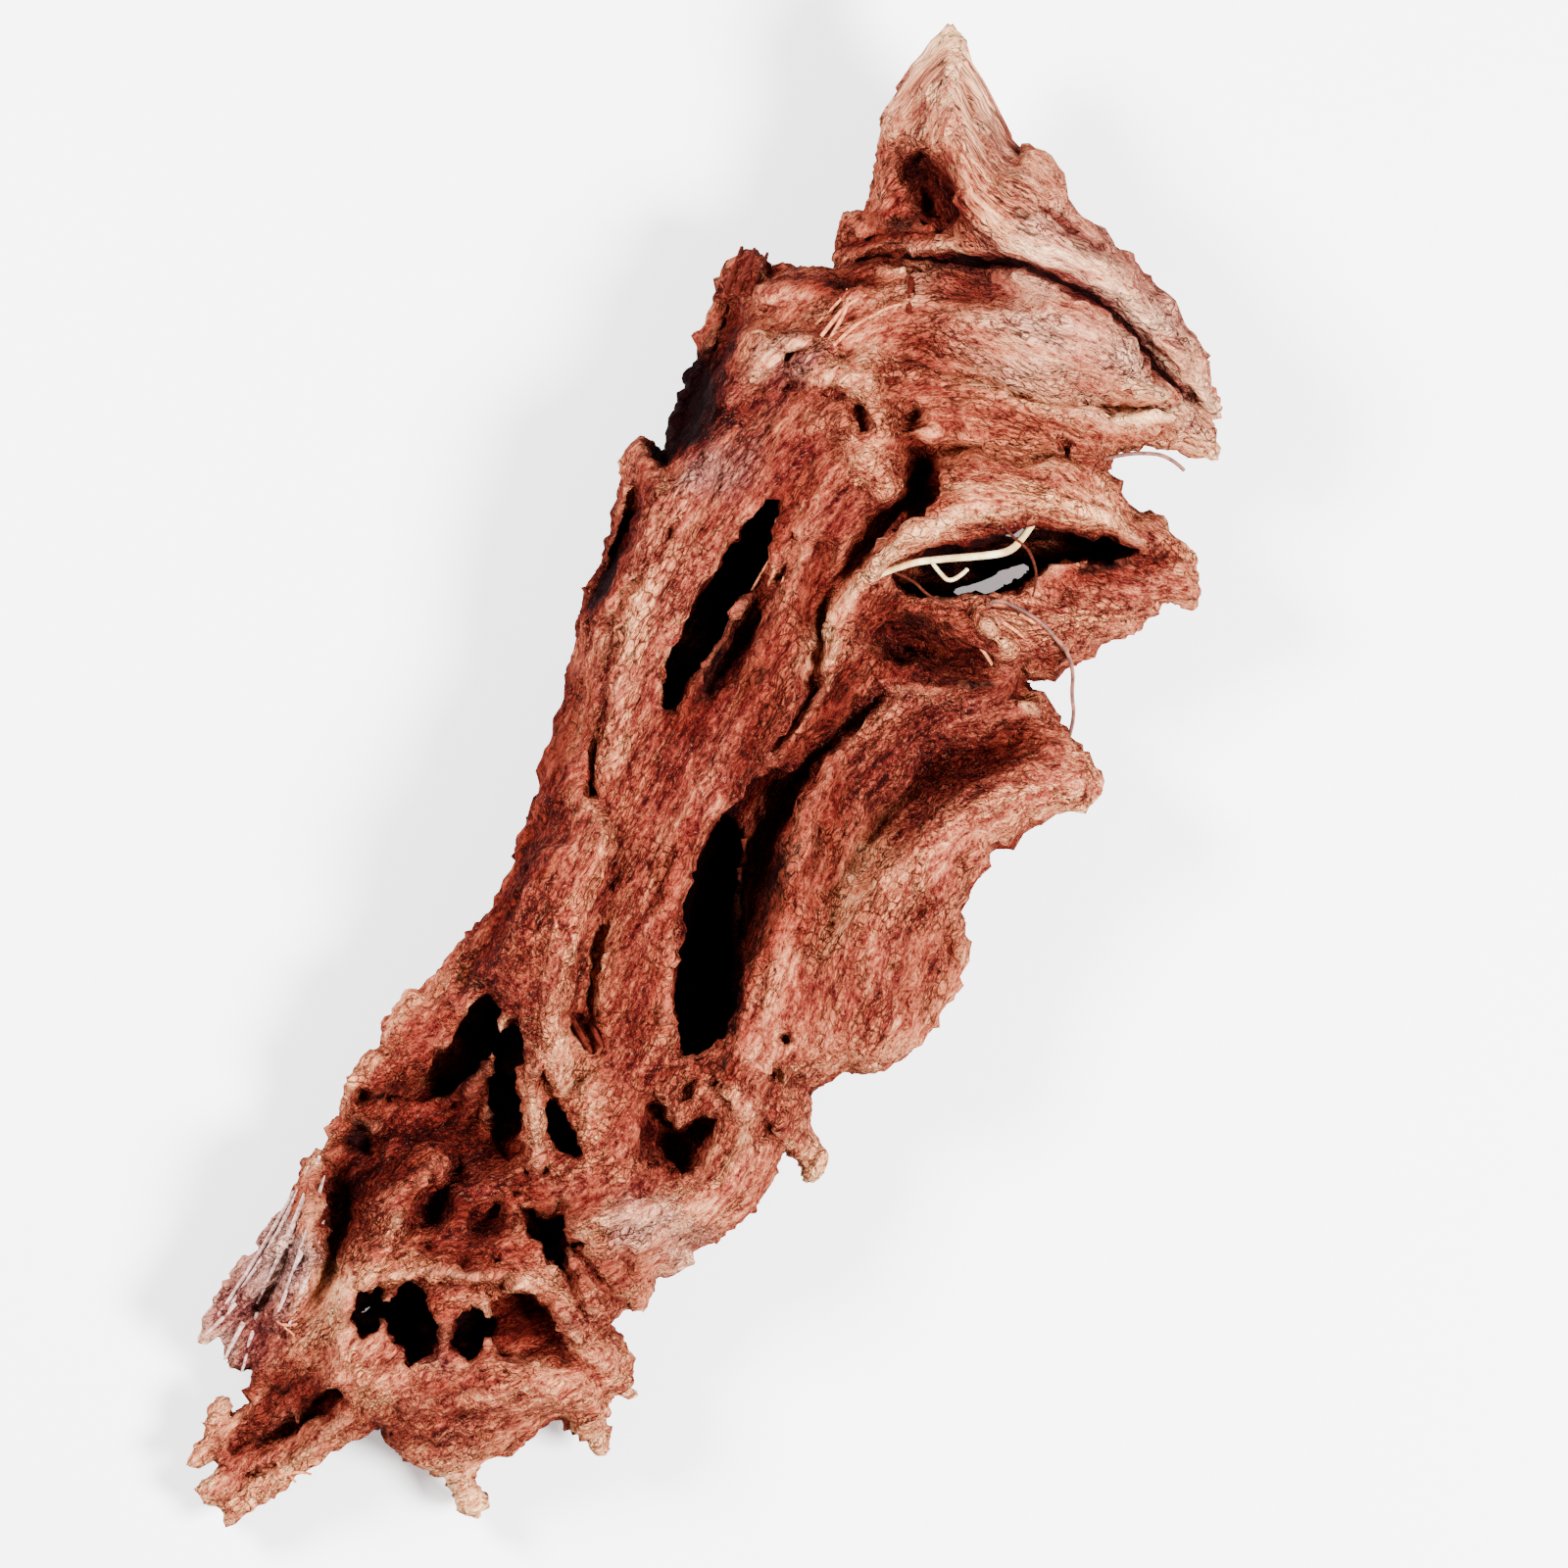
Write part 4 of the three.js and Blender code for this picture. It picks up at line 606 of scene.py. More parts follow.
# Loose chips and teeth that stand up from the front: [across, down, height, half width].
TEETH = {
    "slot_tooth": [[806, 536, 232, 16], [788, 586, 222, 14], [790, 630, 184, 7]],
    "arm_tooth_a": [[275, 1424, 120, 7], [282, 1440, 108, 6]],
    "arm_tooth_b": [[296, 1428, 122, 7], [302, 1452, 108, 6]],
    "arm_tooth_c": [[345, 1432, 150, 8], [348, 1450, 140, 7]],
    "shelf_a": [[696, 1078, 150, 9], [725, 1092, 156, 9], [758, 1084, 168, 9]],
    "cave_bark_a": [[580, 1040, 214, 5], [604, 1060, 210, 5]],
    "cave_bark_b": [[578, 1066, 206, 5], [600, 1082, 202, 5]],
    "jaw_chip": [[1004, 640, 214, 7], [1030, 662, 206, 7]],
    "bump": [[1044, 168, 208, 14], [1060, 178, 210, 14]],
}

# The way that the fibres run: lines of [across, down], each towards the tip.
GRAIN = [
    [[880, 250], [910, 150], [960, 40]],
    [[985, 60], [1010, 180], [1100, 260], [1230, 420]],
    [[900, 290], [1000, 300], [1110, 330], [1230, 440]],
    [[900, 400], [1000, 420], [1100, 430], [1200, 440]],
    [[690, 470], [720, 380], [770, 270]],
    [[720, 430], [800, 360], [900, 330]],
    [[830, 480], [870, 430], [930, 400]],
    [[590, 840], [620, 720], [650, 580], [700, 470], [790, 400]],
    [[560, 1180], [610, 1040], [640, 880], [680, 640], [760, 450]],
    [[650, 1130], [680, 960], [750, 790], [820, 620], [850, 500]],
    [[820, 720], [850, 630], [900, 560], [1000, 500], [1080, 505], [1160, 560], [1210, 610]],
    [[980, 625], [1060, 640], [1130, 630], [1200, 600]],
    [[750, 1090], [780, 930], [840, 800], [930, 720], [1060, 700]],
    [[840, 1080], [890, 940], [960, 850], [1060, 800], [1120, 800]],
    [[560, 1240], [640, 1250], [720, 1200], [780, 1120], [850, 1080]],
    [[640, 1310], [700, 1270], [780, 1200], [830, 1110]],
    [[430, 1060], [490, 990], [550, 880], [590, 790]],
    [[350, 1240], [420, 1160], [500, 1080], [560, 960]],
    [[220, 1370], [290, 1260], [330, 1170], [380, 1080]],
    [[350, 1390], [390, 1280], [440, 1190], [510, 1130]],
    [[210, 1540], [300, 1450], [370, 1350]],
    [[400, 1420], [480, 1400], [560, 1400], [640, 1410]],
    [[400, 1470], [480, 1450], [600, 1440]],
    [[440, 1300], [520, 1290], [600, 1270]],
]

# Painted shade: places darkened, black where strongest, most for the shade in hollows, under ledges and
# beside strands, partly for dark knots: [across, down, darkness, half width] along each way.
SHADES = {
    "under_tip": [
        [901, 160, 0.7, 20], [934, 180, 0.9, 32], [950, 206, 0.9, 34], [930, 234, 0.9, 26],
        [893, 232, 0.9, 24],
    ],
    "block": [[857, 228, 0.7, 18], [880, 258, 0.75, 16], [940, 262, 0.6, 12]],
    "below_crack": [[945, 298, 0.5, 18], [975, 298, 0.75, 26], [1006, 298, 0.85, 26]],
    "dent": [[922, 344, 0.5, 14], [938, 352, 0.7, 18]],
    "spike": [
        [768, 262, 0.75, 16], [746, 300, 0.7, 18], [728, 350, 0.9, 22], [704, 400, 1.3, 30],
        [690, 440, 1.4, 30], [674, 464, 1.2, 14],
    ],
    "slab_foot": [[752, 330, 0.5, 12], [800, 336, 0.4, 12], [840, 340, 0.5, 12]],
    "knots": [[800, 398, 0.5, 16], [846, 420, 0.3, 14], [880, 428, 0.6, 16]],
    "pocket": [[652, 500, 0.8, 10], [634, 556, 1.0, 14], [618, 596, 1.1, 15], [606, 620, 1.0, 12]],
    "left_foot": [[604, 690, 0.5, 10], [600, 740, 0.5, 10], [600, 806, 0.9, 12]],
    "tongue": [
        [925, 452, 0.7, 12], [944, 480, 1.0, 18], [942, 510, 0.95, 20], [912, 530, 0.6, 20],
        [874, 552, 0.45, 22],
    ],
    "under_band": [[975, 462, 0.45, 12], [1050, 474, 0.4, 10], [1120, 474, 0.45, 10]],
    "canyon_top": [[820, 488, 0.5, 20], [796, 516, 0.75, 20]],
    "slot_wall": [
        [800, 540, 0.6, 18], [770, 600, 0.8, 24], [748, 650, 0.9, 26], [722, 700, 0.9, 26],
        [704, 740, 0.8, 22],
    ],
    "middle_side": [
        [850, 530, 0.5, 22], [832, 600, 0.7, 26], [784, 680, 0.75, 26], [760, 760, 0.6, 26],
        [742, 840, 0.4, 20],
    ],
    "arch_bowl": [[890, 626, 0.7, 28], [936, 636, 0.9, 34], [985, 662, 0.7, 28]],
    "under_slot": [[1070, 592, 0.7, 14], [1130, 578, 0.95, 20], [1180, 572, 0.7, 14]],
    "jaw_patch": [[1050, 668, 0.4, 10], [1080, 672, 0.7, 12]],
    "trough": [
        [1080, 742, 0.5, 30], [1020, 764, 0.7, 38], [965, 790, 0.6, 34], [905, 838, 0.3, 24],
    ],
    "canyon_wall": [
        [846, 760, 0.5, 24], [820, 818, 0.7, 34], [800, 876, 0.85, 40], [780, 940, 0.9, 36],
        [756, 1000, 0.75, 20],
    ],
    "canyon_left": [
        [712, 830, 0.6, 16], [690, 880, 0.8, 18], [676, 960, 0.7, 16], [674, 1040, 0.8, 16],
    ],
    "plain": [[655, 960, 0.35, 24], [646, 1040, 0.45, 26]],
    "fin_valley": [
        [548, 838, 0.5, 12], [528, 888, 0.7, 18], [510, 938, 0.65, 18], [494, 985, 0.6, 14],
    ],
    "outer_strand": [[500, 950, 0.35, 20], [460, 1004, 0.45, 24], [420, 1050, 0.5, 22]],
    "behind_fin": [[596, 1040, 0.9, 20], [612, 1062, 0.8, 14]],
    "cave_field": [
        [444, 1036, 0.6, 20], [490, 1050, 0.8, 22], [486, 1110, 0.9, 30], [400, 1112, 0.9, 28],
        [370, 1126, 0.8, 18],
    ],
    "cave_floor": [[400, 1156, 0.7, 30], [466, 1150, 0.75, 40], [516, 1176, 0.7, 28]],
    "scoop": [
        [366, 1160, 1.0, 30], [358, 1200, 0.9, 34], [346, 1245, 0.7, 30], [332, 1290, 0.45, 20],
    ],
    "pits": [[436, 1228, 0.85, 30], [470, 1230, 0.6, 24], [500, 1244, 0.85, 28]],
    "knobbles": [[470, 1280, 0.5, 18], [540, 1206, 0.7, 18], [556, 1226, 0.7, 16]],
    "cleft": [
        [545, 1240, 0.8, 20], [574, 1264, 0.9, 20], [590, 1310, 0.6, 16], [636, 1290, 0.4, 14],
    ],
    "fin_cave": [[566, 1130, 0.6, 18], [580, 1170, 0.7, 20]],
    "brow": [
        [374, 1336, 0.8, 26], [424, 1346, 0.85, 36], [480, 1360, 0.8, 32], [530, 1366, 0.65, 30],
        [572, 1384, 0.6, 22],
    ],
    "bottom_bowl": [
        [662, 1122, 0.5, 16], [668, 1156, 0.7, 24], [694, 1176, 0.75, 26], [716, 1156, 0.7, 20],
        [712, 1122, 0.4, 16],
    ],
    "shelf": [[700, 1092, 0.6, 14], [750, 1098, 0.6, 14]],
    "arm": [
        [340, 1432, 0.9, 18], [284, 1418, 0.9, 20], [262, 1450, 0.7, 22], [232, 1492, 0.6, 20],
        [320, 1462, 0.5, 16],
    ],
    "ragged_end": [[236, 1340, 0.4, 16], [250, 1392, 0.5, 14], [280, 1380, 0.3, 16]],
    "right_of_slot": [[880, 560, 0.6, 20], [846, 620, 0.4, 16]],
    "over_band": [[928, 520, 0.8, 18], [980, 512, 0.5, 14]],
    "brow_top": [[480, 1310, 0.4, 20], [560, 1330, 0.6, 22]],
    "brow_foot": [[420, 1410, 0.4, 20], [470, 1420, 0.5, 18]],
    "crack": [
        [900, 262, 1.1, 5], [940, 265, 1.3, 5], [986, 269, 1.3, 6], [1034, 272, 1.3, 6],
        [1075, 286, 1.3, 6],
        [1116, 310, 1.3, 6], [1150, 334, 1.3, 6], [1170, 368, 1.3, 6], [1204, 402, 1.1, 5],
    ],
    "head_crack": [[1061, 218, 0.8, 4], [1102, 245, 0.9, 4], [1126, 258, 0.7, 4]],
    "slot_roof": [
        [960, 562, 0.9, 8], [1016, 550, 1.2, 10], [1070, 544, 1.3, 10], [1120, 554, 1.3, 9],
        [1156, 562, 1.0, 8],
    ],
    "fan_crack": [[840, 740, 0.6, 18], [806, 764, 0.6, 16]],
    "fin_side": [[552, 1100, 0.6, 14], [556, 1130, 0.5, 12]],
    "low_knots": [[440, 1276, 0.7, 14], [512, 1292, 0.7, 16], [600, 1228, 0.8, 16]],
    "slot_right": [
        [824, 590, 0.8, 16], [800, 640, 0.6, 16], [776, 690, 0.9, 18], [760, 730, 0.6, 16],
    ],
    "left_of_slot": [[700, 700, 0.6, 14], [690, 736, 0.8, 18]],
    "above_fan": [[884, 680, 0.8, 16], [856, 712, 0.9, 18], [830, 744, 0.7, 16]],
    "bowl_side": [[976, 620, 0.7, 14], [978, 640, 0.9, 18]],
    "jaw_dark": [[1112, 580, 0.7, 14], [1150, 588, 0.4, 12], [1192, 568, 0.6, 14]],
    "fin_base": [[566, 862, 0.5, 16], [546, 890, 0.7, 18]],
    "field_left": [
        [434, 1044, 0.7, 18], [424, 1116, 0.8, 22], [328, 1200, 0.7, 14], [300, 1240, 0.5, 12],
    ],
    "sill_dark": [[444, 1416, 0.7, 18], [520, 1404, 0.5, 16], [560, 1400, 0.4, 14]],
    "arm_dark": [[408, 1464, 0.6, 12], [380, 1456, 0.5, 12]],
    "flake_end": [[232, 1330, 0.7, 14], [222, 1352, 0.7, 10]],
    "face_marks": [[1012, 304, 0.6, 14], [1016, 320, 0.4, 10]],
    "canyon_rim": [
        [770, 850, 0.8, 16], [754, 900, 1.0, 14], [750, 960, 1.1, 14], [752, 1010, 1.1, 14],
        [742, 1050, 1.0, 14],
    ],
    "recess": [[900, 196, 0.7, 18], [930, 200, 0.8, 22], [966, 190, 0.8, 14], [976, 222, 0.9, 12]],
    "block_lines": [[858, 250, 0.9, 6], [890, 256, 0.9, 6], [920, 250, 0.8, 6]],
    "left_edge": [
        [584, 690, 0.7, 12], [570, 760, 0.8, 14], [556, 850, 0.6, 16], [530, 890, 0.5, 16],
    ],
    "spike_inner": [[660, 470, 0.6, 10], [656, 520, 0.7, 12]],
    "tip_left": [[940, 70, 0.3, 14], [912, 130, 0.4, 14]],
    "slab_top": [[800, 290, 0.6, 12], [850, 294, 0.9, 14], [884, 290, 0.8, 14]],
    "fan_hollow": [[846, 800, 0.7, 22], [828, 888, 0.9, 24], [810, 960, 0.6, 20]],
    "bowl_edge": [
        [900, 680, 0.7, 14], [930, 692, 0.9, 14], [1010, 700, 0.9, 14], [1060, 700, 0.5, 12],
    ],
    "shelf_top": [[762, 1040, 0.8, 14], [738, 1084, 0.9, 16], [672, 1096, 0.5, 12]],
    "cave_edge": [[430, 1044, 0.6, 20], [400, 1080, 0.6, 16]],
    "mid_floor": [[400, 1190, 0.6, 18], [436, 1190, 0.8, 16], [312, 1208, 0.5, 12]],
    "end_shade": [
        [300, 1200, 0.3, 14], [240, 1320, 0.6, 20], [262, 1370, 0.7, 20], [256, 1430, 0.6, 16],
    ],
    "rim_nick": [[964, 946, 0.5, 10], [972, 975, 0.7, 9]],
    "low_edge": [[640, 1300, 0.5, 14], [664, 1280, 0.5, 10], [610, 1330, 0.5, 14]],
}

# Painted light: ways along which the wood is painted paler, as if lit: [across, down, paleness, half
# width].
PAINTED_LIGHT_WAYS = {
    "face_foot": [
        [985, 388, 2.0, 18], [1040, 392, 3.0, 22], [1128, 424, 3.0, 22], [1190, 420, 1.5, 14],
    ],
    "head_hollow": [[936, 276, 1.5, 14], [936, 296, 2.5, 16]],
    "beside_crack": [[1048, 284, 2.5, 14], [1062, 304, 2.0, 18]],
    "face_side": [[1140, 330, 2.5, 16], [1162, 362, 1.5, 14]],
    "band_foot": [[936, 472, 1.0, 12], [1010, 470, 1.5, 12], [1080, 474, 1.5, 12]],
    "shoulder": [[872, 346, 2.0, 14], [888, 360, 2.5, 16]],
    "slab_front": [[824, 344, 1.5, 16], [776, 326, 1.5, 14]],
    "knot_sides": [[824, 440, 1.5, 14], [776, 432, 1.2, 14]],
    "behind_arch": [[868, 600, 2.0, 14], [844, 640, 2.0, 12], [828, 684, 2.5, 12]],
    "trough": [[884, 868, 2.0, 18], [850, 960, 1.5, 14]],
    "left_strand": [[650, 600, 1.5, 12], [640, 660, 1.2, 12]],
    "beside_fin": [
        [612, 950, 1.5, 12], [600, 1040, 1.0, 12], [596, 1100, 2.0, 16], [604, 1140, 1.5, 14],
    ],
    "flake_foot": [[340, 1290, 2.5, 12], [330, 1340, 2.0, 12], [316, 1380, 2.0, 14]],
    "arm_root": [[368, 1430, 2.0, 12], [390, 1440, 1.5, 12]],
    "cleft_side": [[576, 1265, 2.0, 12], [624, 1264, 1.5, 12], [700, 1260, 1.5, 12]],
    "recess_top": [[944, 150, 1.5, 14], [946, 160, 1.0, 10]],
    "tip_edge": [[1000, 96, 2.0, 12], [1012, 132, 2.0, 12]],
}

# The tone of places on the wood: [across, down, lightness, orange, grey]. The lightness is partly the
# wood's own and partly painted shade and painted light.
TONES = [
    [702, 425, -1.5, 0.0, 0.0], [620, 590, -1.0, 0.0, 0.0], [650, 520, 0.0, 0.3, 0.0],
    [762, 285, -1.0, 0.2, 0.0],
    [950, 100, 0.6, 0.0, 0.3], [1010, 150, 0.6, 0.0, 0.35], [965, 200, 0.0, 0.2, 0.0],
    [1100, 270, 0.55, 0.0, 0.35], [1100, 350, 0.7, 0.0, 0.4], [1000, 340, 0.5, 0.1, 0.3],
    [1200, 400, 0.45, 0.1, 0.35], [1040, 430, 0.7, 0.8, 0.0], [1150, 450, 0.7, 0.5, 0.1],
    [950, 440, 0.4, 0.7, 0.0],
    [910, 350, 0.4, 0.5, 0.1],
    [860, 300, 0.0, 0.3, 0.2], [760, 290, -0.2, 0.2, 0.1], [800, 360, 0.15, 0.2, 0.4],
    [900, 450, 0.1, 0.6, 0.1], [720, 480, 0.25, 0.2, 0.5], [700, 560, 0.25, 0.3, 0.1],
    [650, 700, 0.2, 0.35, 0.1], [820, 560, 0.05, 0.3, 0.1], [780, 700, 0.0, 0.4, 0.1],
    [690, 860, 0.2, 0.4, 0.0], [930, 560, 0.15, 0.4, 0.0], [1080, 510, 0.2, 0.6, 0.0],
    [1190, 560, 0.1, 0.4, 0.1], [1060, 640, 0.1, 0.5, 0.0], [930, 650, -0.3, 0.3, 0.0],
    [960, 760, -0.2, 0.2, 0.2], [870, 800, -0.1, 0.3, 0.1], [1050, 810, 0.25, 0.4, 0.1],
    [960, 880, 0.2, 0.4, 0.0], [880, 1000, 0.3, 0.4, 0.0], [800, 1060, 0.3, 0.3, 0.0],
    [640, 960, -0.2, 0.3, 0.0], [560, 920, -0.5, 0.9, 0.0], [470, 1000, -0.4, 0.5, 0.1],
    [620, 1150, -0.2, 0.6, 0.0], [740, 1200, 0.0, 0.5, 0.0], [640, 1250, 0.0, 0.3, 0.5],
    [450, 1170, -0.6, 0.6, 0.0], [340, 1240, -0.6, 0.4, 0.0], [290, 1290, 0.0, 0.0, 1.0],
    [230, 1350, -0.2, 0.2, 0.6], [400, 1280, -0.15, 0.8, 0.0], [500, 1270, -0.5, 0.7, 0.0],
    [600, 1360, -0.3, 0.8, 0.0], [450, 1400, -0.2, 0.5, 0.4], [520, 1450, 0.2, 0.5, 0.2],
    [250, 1480, -0.6, 0.4, 0.1], [330, 1330, 0.5, 0.2, 0.1], [590, 1270, 0.3, 0.2, 0.0],
    [640, 1350, 0.5, 0.3, 0.0],
    [700, 600, -0.4, 0.3, 0.0], [750, 720, -0.4, 0.4, 0.0], [860, 700, -0.3, 0.4, 0.0],
    [700, 800, -0.4, 0.4, 0.0],
    [640, 1080, -0.2, 0.4, 0.0], [560, 1000, -0.3, 0.7, 0.0],
    [1048, 304, 1.2, 0.0, 0.4], [944, 276, 0.9, 0.1, 0.3], [1150, 340, 0.6, 0.0, 0.4],
    [1040, 388, 1.0, 0.1, 0.4],
    [1130, 420, 0.9, 0.2, 0.3], [960, 470, 0.4, 0.5, 0.0], [1080, 470, 0.5, 0.4, 0.1],
    [890, 350, 0.6, 0.3, 0.1],
    [820, 350, 0.5, 0.2, 0.3], [776, 326, 0.5, 0.2, 0.2], [870, 600, 0.6, 0.4, 0.0],
    [1030, 570, 0.0, 0.4, 0.0],
    [856, 980, 0.7, 0.4, 0.0], [880, 1064, 0.9, 0.4, 0.0], [960, 1000, 0.6, 0.4, 0.1],
    [610, 960, 0.7, 0.6, 0.0],
    [596, 1120, 0.7, 0.5, 0.0], [630, 780, 0.4, 0.4, 0.1], [330, 1320, 0.8, 0.3, 0.1],
    [452, 1466, 0.9, 0.4, 0.3],
    [690, 1266, 0.8, 0.2, 0.4], [524, 1360, 0.7, 0.3, 0.1], [232, 1440, -0.6, 0.4, 0.0],
    [312, 1466, -0.7, 0.5, 0.0],
    [210, 1350, -0.6, 0.2, 0.4], [430, 1040, -0.5, 0.5, 0.0], [560, 880, -0.6, 0.7, 0.0],
    [1180, 580, -0.5, 0.4, 0.0], [828, 680, 0.7, 0.3, 0.0],
    [648, 608, 0.7, 0.3, 0.1], [880, 872, 0.8, 0.4, 0.0], [1088, 768, -0.3, 0.3, 0.2],
    [232, 1336, -0.9, 0.2, 0.4],
    [264, 1362, -0.7, 0.2, 0.4], [440, 1418, -0.5, 0.5, 0.1], [408, 1464, -0.4, 0.6, 0.0],
    [320, 1400, 0.5, 0.5, 0.0], [368, 1432, 0.4, 0.6, 0.0], [600, 1040, 0.5, 0.5, 0.0],
    [576, 1265, 0.4, 0.4, 0.1],
    [728, 1150, 0.4, 0.3, 0.0], [856, 1010, 0.4, 0.4, 0.0], [300, 1510, 0.0, 0.6, 0.0],
]


# Arrays on the plan and in the grid.


def nearest_on_way(way, across, down):
    """The distance to a way, and the height and half width at its nearest point."""
    nearest = np.full(across.shape, np.inf, np.float32)
    height = np.zeros(across.shape, np.float32)
    width = np.ones(across.shape, np.float32)
    for (u0, v0, h0, *w0), (u1, v1, h1, *w1) in zip(way, way[1:]):
        du, dv = u1 - u0, v1 - v0
        t = ((across - u0) * du + (down - v0) * dv) / (du * du + dv * dv)
        t = np.clip(t, 0, 1)
        off_u, off_v = across - u0 - t * du, down - v0 - t * dv
        distance = np.hypot(off_u, off_v)
        closer = distance < nearest
        on_left = off_u * dv - off_v * du > 0
        here = np.where(on_left, w0[0] + t * (w1[0] - w0[0]), w0[-1] + t * (w1[-1] - w0[-1]))
        nearest = np.where(closer, distance, nearest)
        height = np.where(closer, h0 + t * (h1 - h0), height)
        width = np.where(closer, here, width)
    return nearest, height, width


def inside_outline(outline, across, down):
    """The distance to an outline, positive inside it."""
    inside = np.zeros(across.shape, bool)
    nearest = np.full(across.shape, np.inf, np.float32)
    for (u0, v0), (u1, v1) in zip(outline[-1:] + outline, outline):
        du, dv = u1 - u0, v1 - v0
        if dv:
            crosses = ((v0 > down) != (v1 > down)) & (across < u0 + (down - v0) / dv * du)
            inside ^= crosses
        t = np.clip(((across - u0) * du + (down - v0) * dv) / (du * du + dv * dv), 0, 1)
        nearest = np.minimum(nearest, np.hypot(across - u0 - t * du, down - v0 - t * dv))
    return np.where(inside, nearest, -nearest)


def smooth_max(a, b, blend):
    overlap = np.maximum(blend - np.abs(a - b), 0) / blend
    return np.maximum(a, b) + overlap * overlap * (blend / 4)


def smooth_min(a, b, blend):
    return -smooth_max(-a, -b, blend)


def blend_of(points, across, down, column, softness=30.0):
    """A stated column of scattered points, blended over the plan."""
    total = np.zeros(across.shape, np.float32)
    weights = np.zeros(across.shape, np.float32)
    for point in points:
        weight = ((across - point[0]) ** 2 + (down - point[1]) ** 2 + softness**2) ** -2
        total += weight * point[column]
        weights += weight
    return total / weights


def noise(points, seed):
    """Value noise from -1 to 1, smooth between the whole numbers, the same on each run."""
    cell = np.floor(points).astype(np.int64)
    part = points - cell
    part = part * part * (3 - 2 * part)
    total = np.zeros(len(points))
    for corner in np.ndindex(2, 2, 2):
        at = cell + corner
        key = at[:, 0] * 73856093 ^ at[:, 1] * 19349663 ^ at[:, 2] * 83492791 ^ seed * 2654435761
        key = (key ^ (key >> 13)) * 1274126177 & 0xFFFFFFFF
        value = ((key ^ (key >> 16)) & 0xFFFF) / 32767.5 - 1
        weight = np.prod(np.where(corner, part, 1 - part), axis=1)
        total += weight * value
    return total


def layered_noise(points, seed, layers=3):
    total = np.zeros(len(points))
    for layer in range(layers):
        total += noise(points * 2**layer, seed + layer) / 2**layer
    return total / 1.6


def sample(grid, start, cell, points):
    """The values of a grid at points between its corners, by linear blending."""
    at = (points - start) / cell
    limit = np.array(grid.shape) - 1.001
    at = np.clip(at, 0, limit)
    low = at.astype(np.int64)
    part = at - low
    total = np.zeros(len(points))
    for corner in np.ndindex(*(2,) * grid.ndim):
        weight = np.prod(np.where(corner, part, 1 - part), axis=1)
        total += weight * grid[tuple((low + corner).T)]
    return total


def box_blur(volume, reach):
    """The mean over a box of cells, twice, so that its weight falls off smoothly."""
    for _ in range(2):
        for axis in range(volume.ndim):
            pads = [(reach + 1, reach) if n == axis else (0, 0) for n in range(volume.ndim)]
            sums = np.cumsum(np.pad(volume, pads, mode="edge"), axis=axis, dtype=np.float64)
            count = volume.shape[axis]
            high = np.take(sums, range(2 * reach + 1, 2 * reach + 1 + count), axis=axis)
            low = np.take(sums, range(count), axis=axis)
            volume = ((high - low) / (2 * reach + 1)).astype(np.float32)
    return volume


# The grain: how far along and across the fibres each place on the plan lies.

def integrate(along_first, along_second):
    """The grid whose steps between neighbours come closest to the given ones."""
    source = np.zeros(along_first.shape)
    source[:-1] += along_first[:-1]
    source[1:] -= along_first[:-1]
    source[:, :-1] += along_second[:, :-1]
    source[:, 1:] -= along_second[:, :-1]
    mirrored = np.block([[source, source[:, ::-1]], [source[::-1], source[::-1, ::-1]]])
    waves = [np.cos(2 * np.pi * np.arange(n) / n) for n in mirrored.shape]
    scale = 2 * waves[0][:, None] + 2 * waves[1][None, :] - 4
    scale[0, 0] = 1
    spectrum = np.fft.fft2(mirrored) / scale
    spectrum[0, 0] = 0
    rows, columns = source.shape
    return np.fft.ifft2(spectrum).real[:rows, :columns]


def grain_grids():
    """Grids over the plan of the way along the fibres and the way across them."""
    (u0, u1), (v0, v1), _ = PLAN_BOX
    first, second = np.arange(u0, u1, GRAIN_CELL), np.arange(v0, v1, GRAIN_CELL)
    across, down = np.meshgrid(first, second, indexing="ij")
    flow = np.zeros((2,) + across.shape)
    for line in GRAIN:
        for (a0, b0), (a1, b1) in zip(line, line[1:]):
            du, dv = a1 - a0, b1 - b0
            length = math.hypot(du, dv)
            t = np.clip(((across - a0) * du + (down - b0) * dv) / length**2, 0, 1)
            gap = (across - a0 - t * du) ** 2 + (down - b0 - t * dv) ** 2
            weight = (gap + 300) ** -1.5
            flow[0] += weight * du / length
            flow[1] += weight * dv / length
    flow /= np.hypot(*flow) + 1e-9
    along = -integrate(flow[0] * GRAIN_CELL, flow[1] * GRAIN_CELL)
    aside = -integrate(-flow[1] * GRAIN_CELL, flow[0] * GRAIN_CELL)
    return -along, -aside


# The field, positive inside the wood, and its surface.


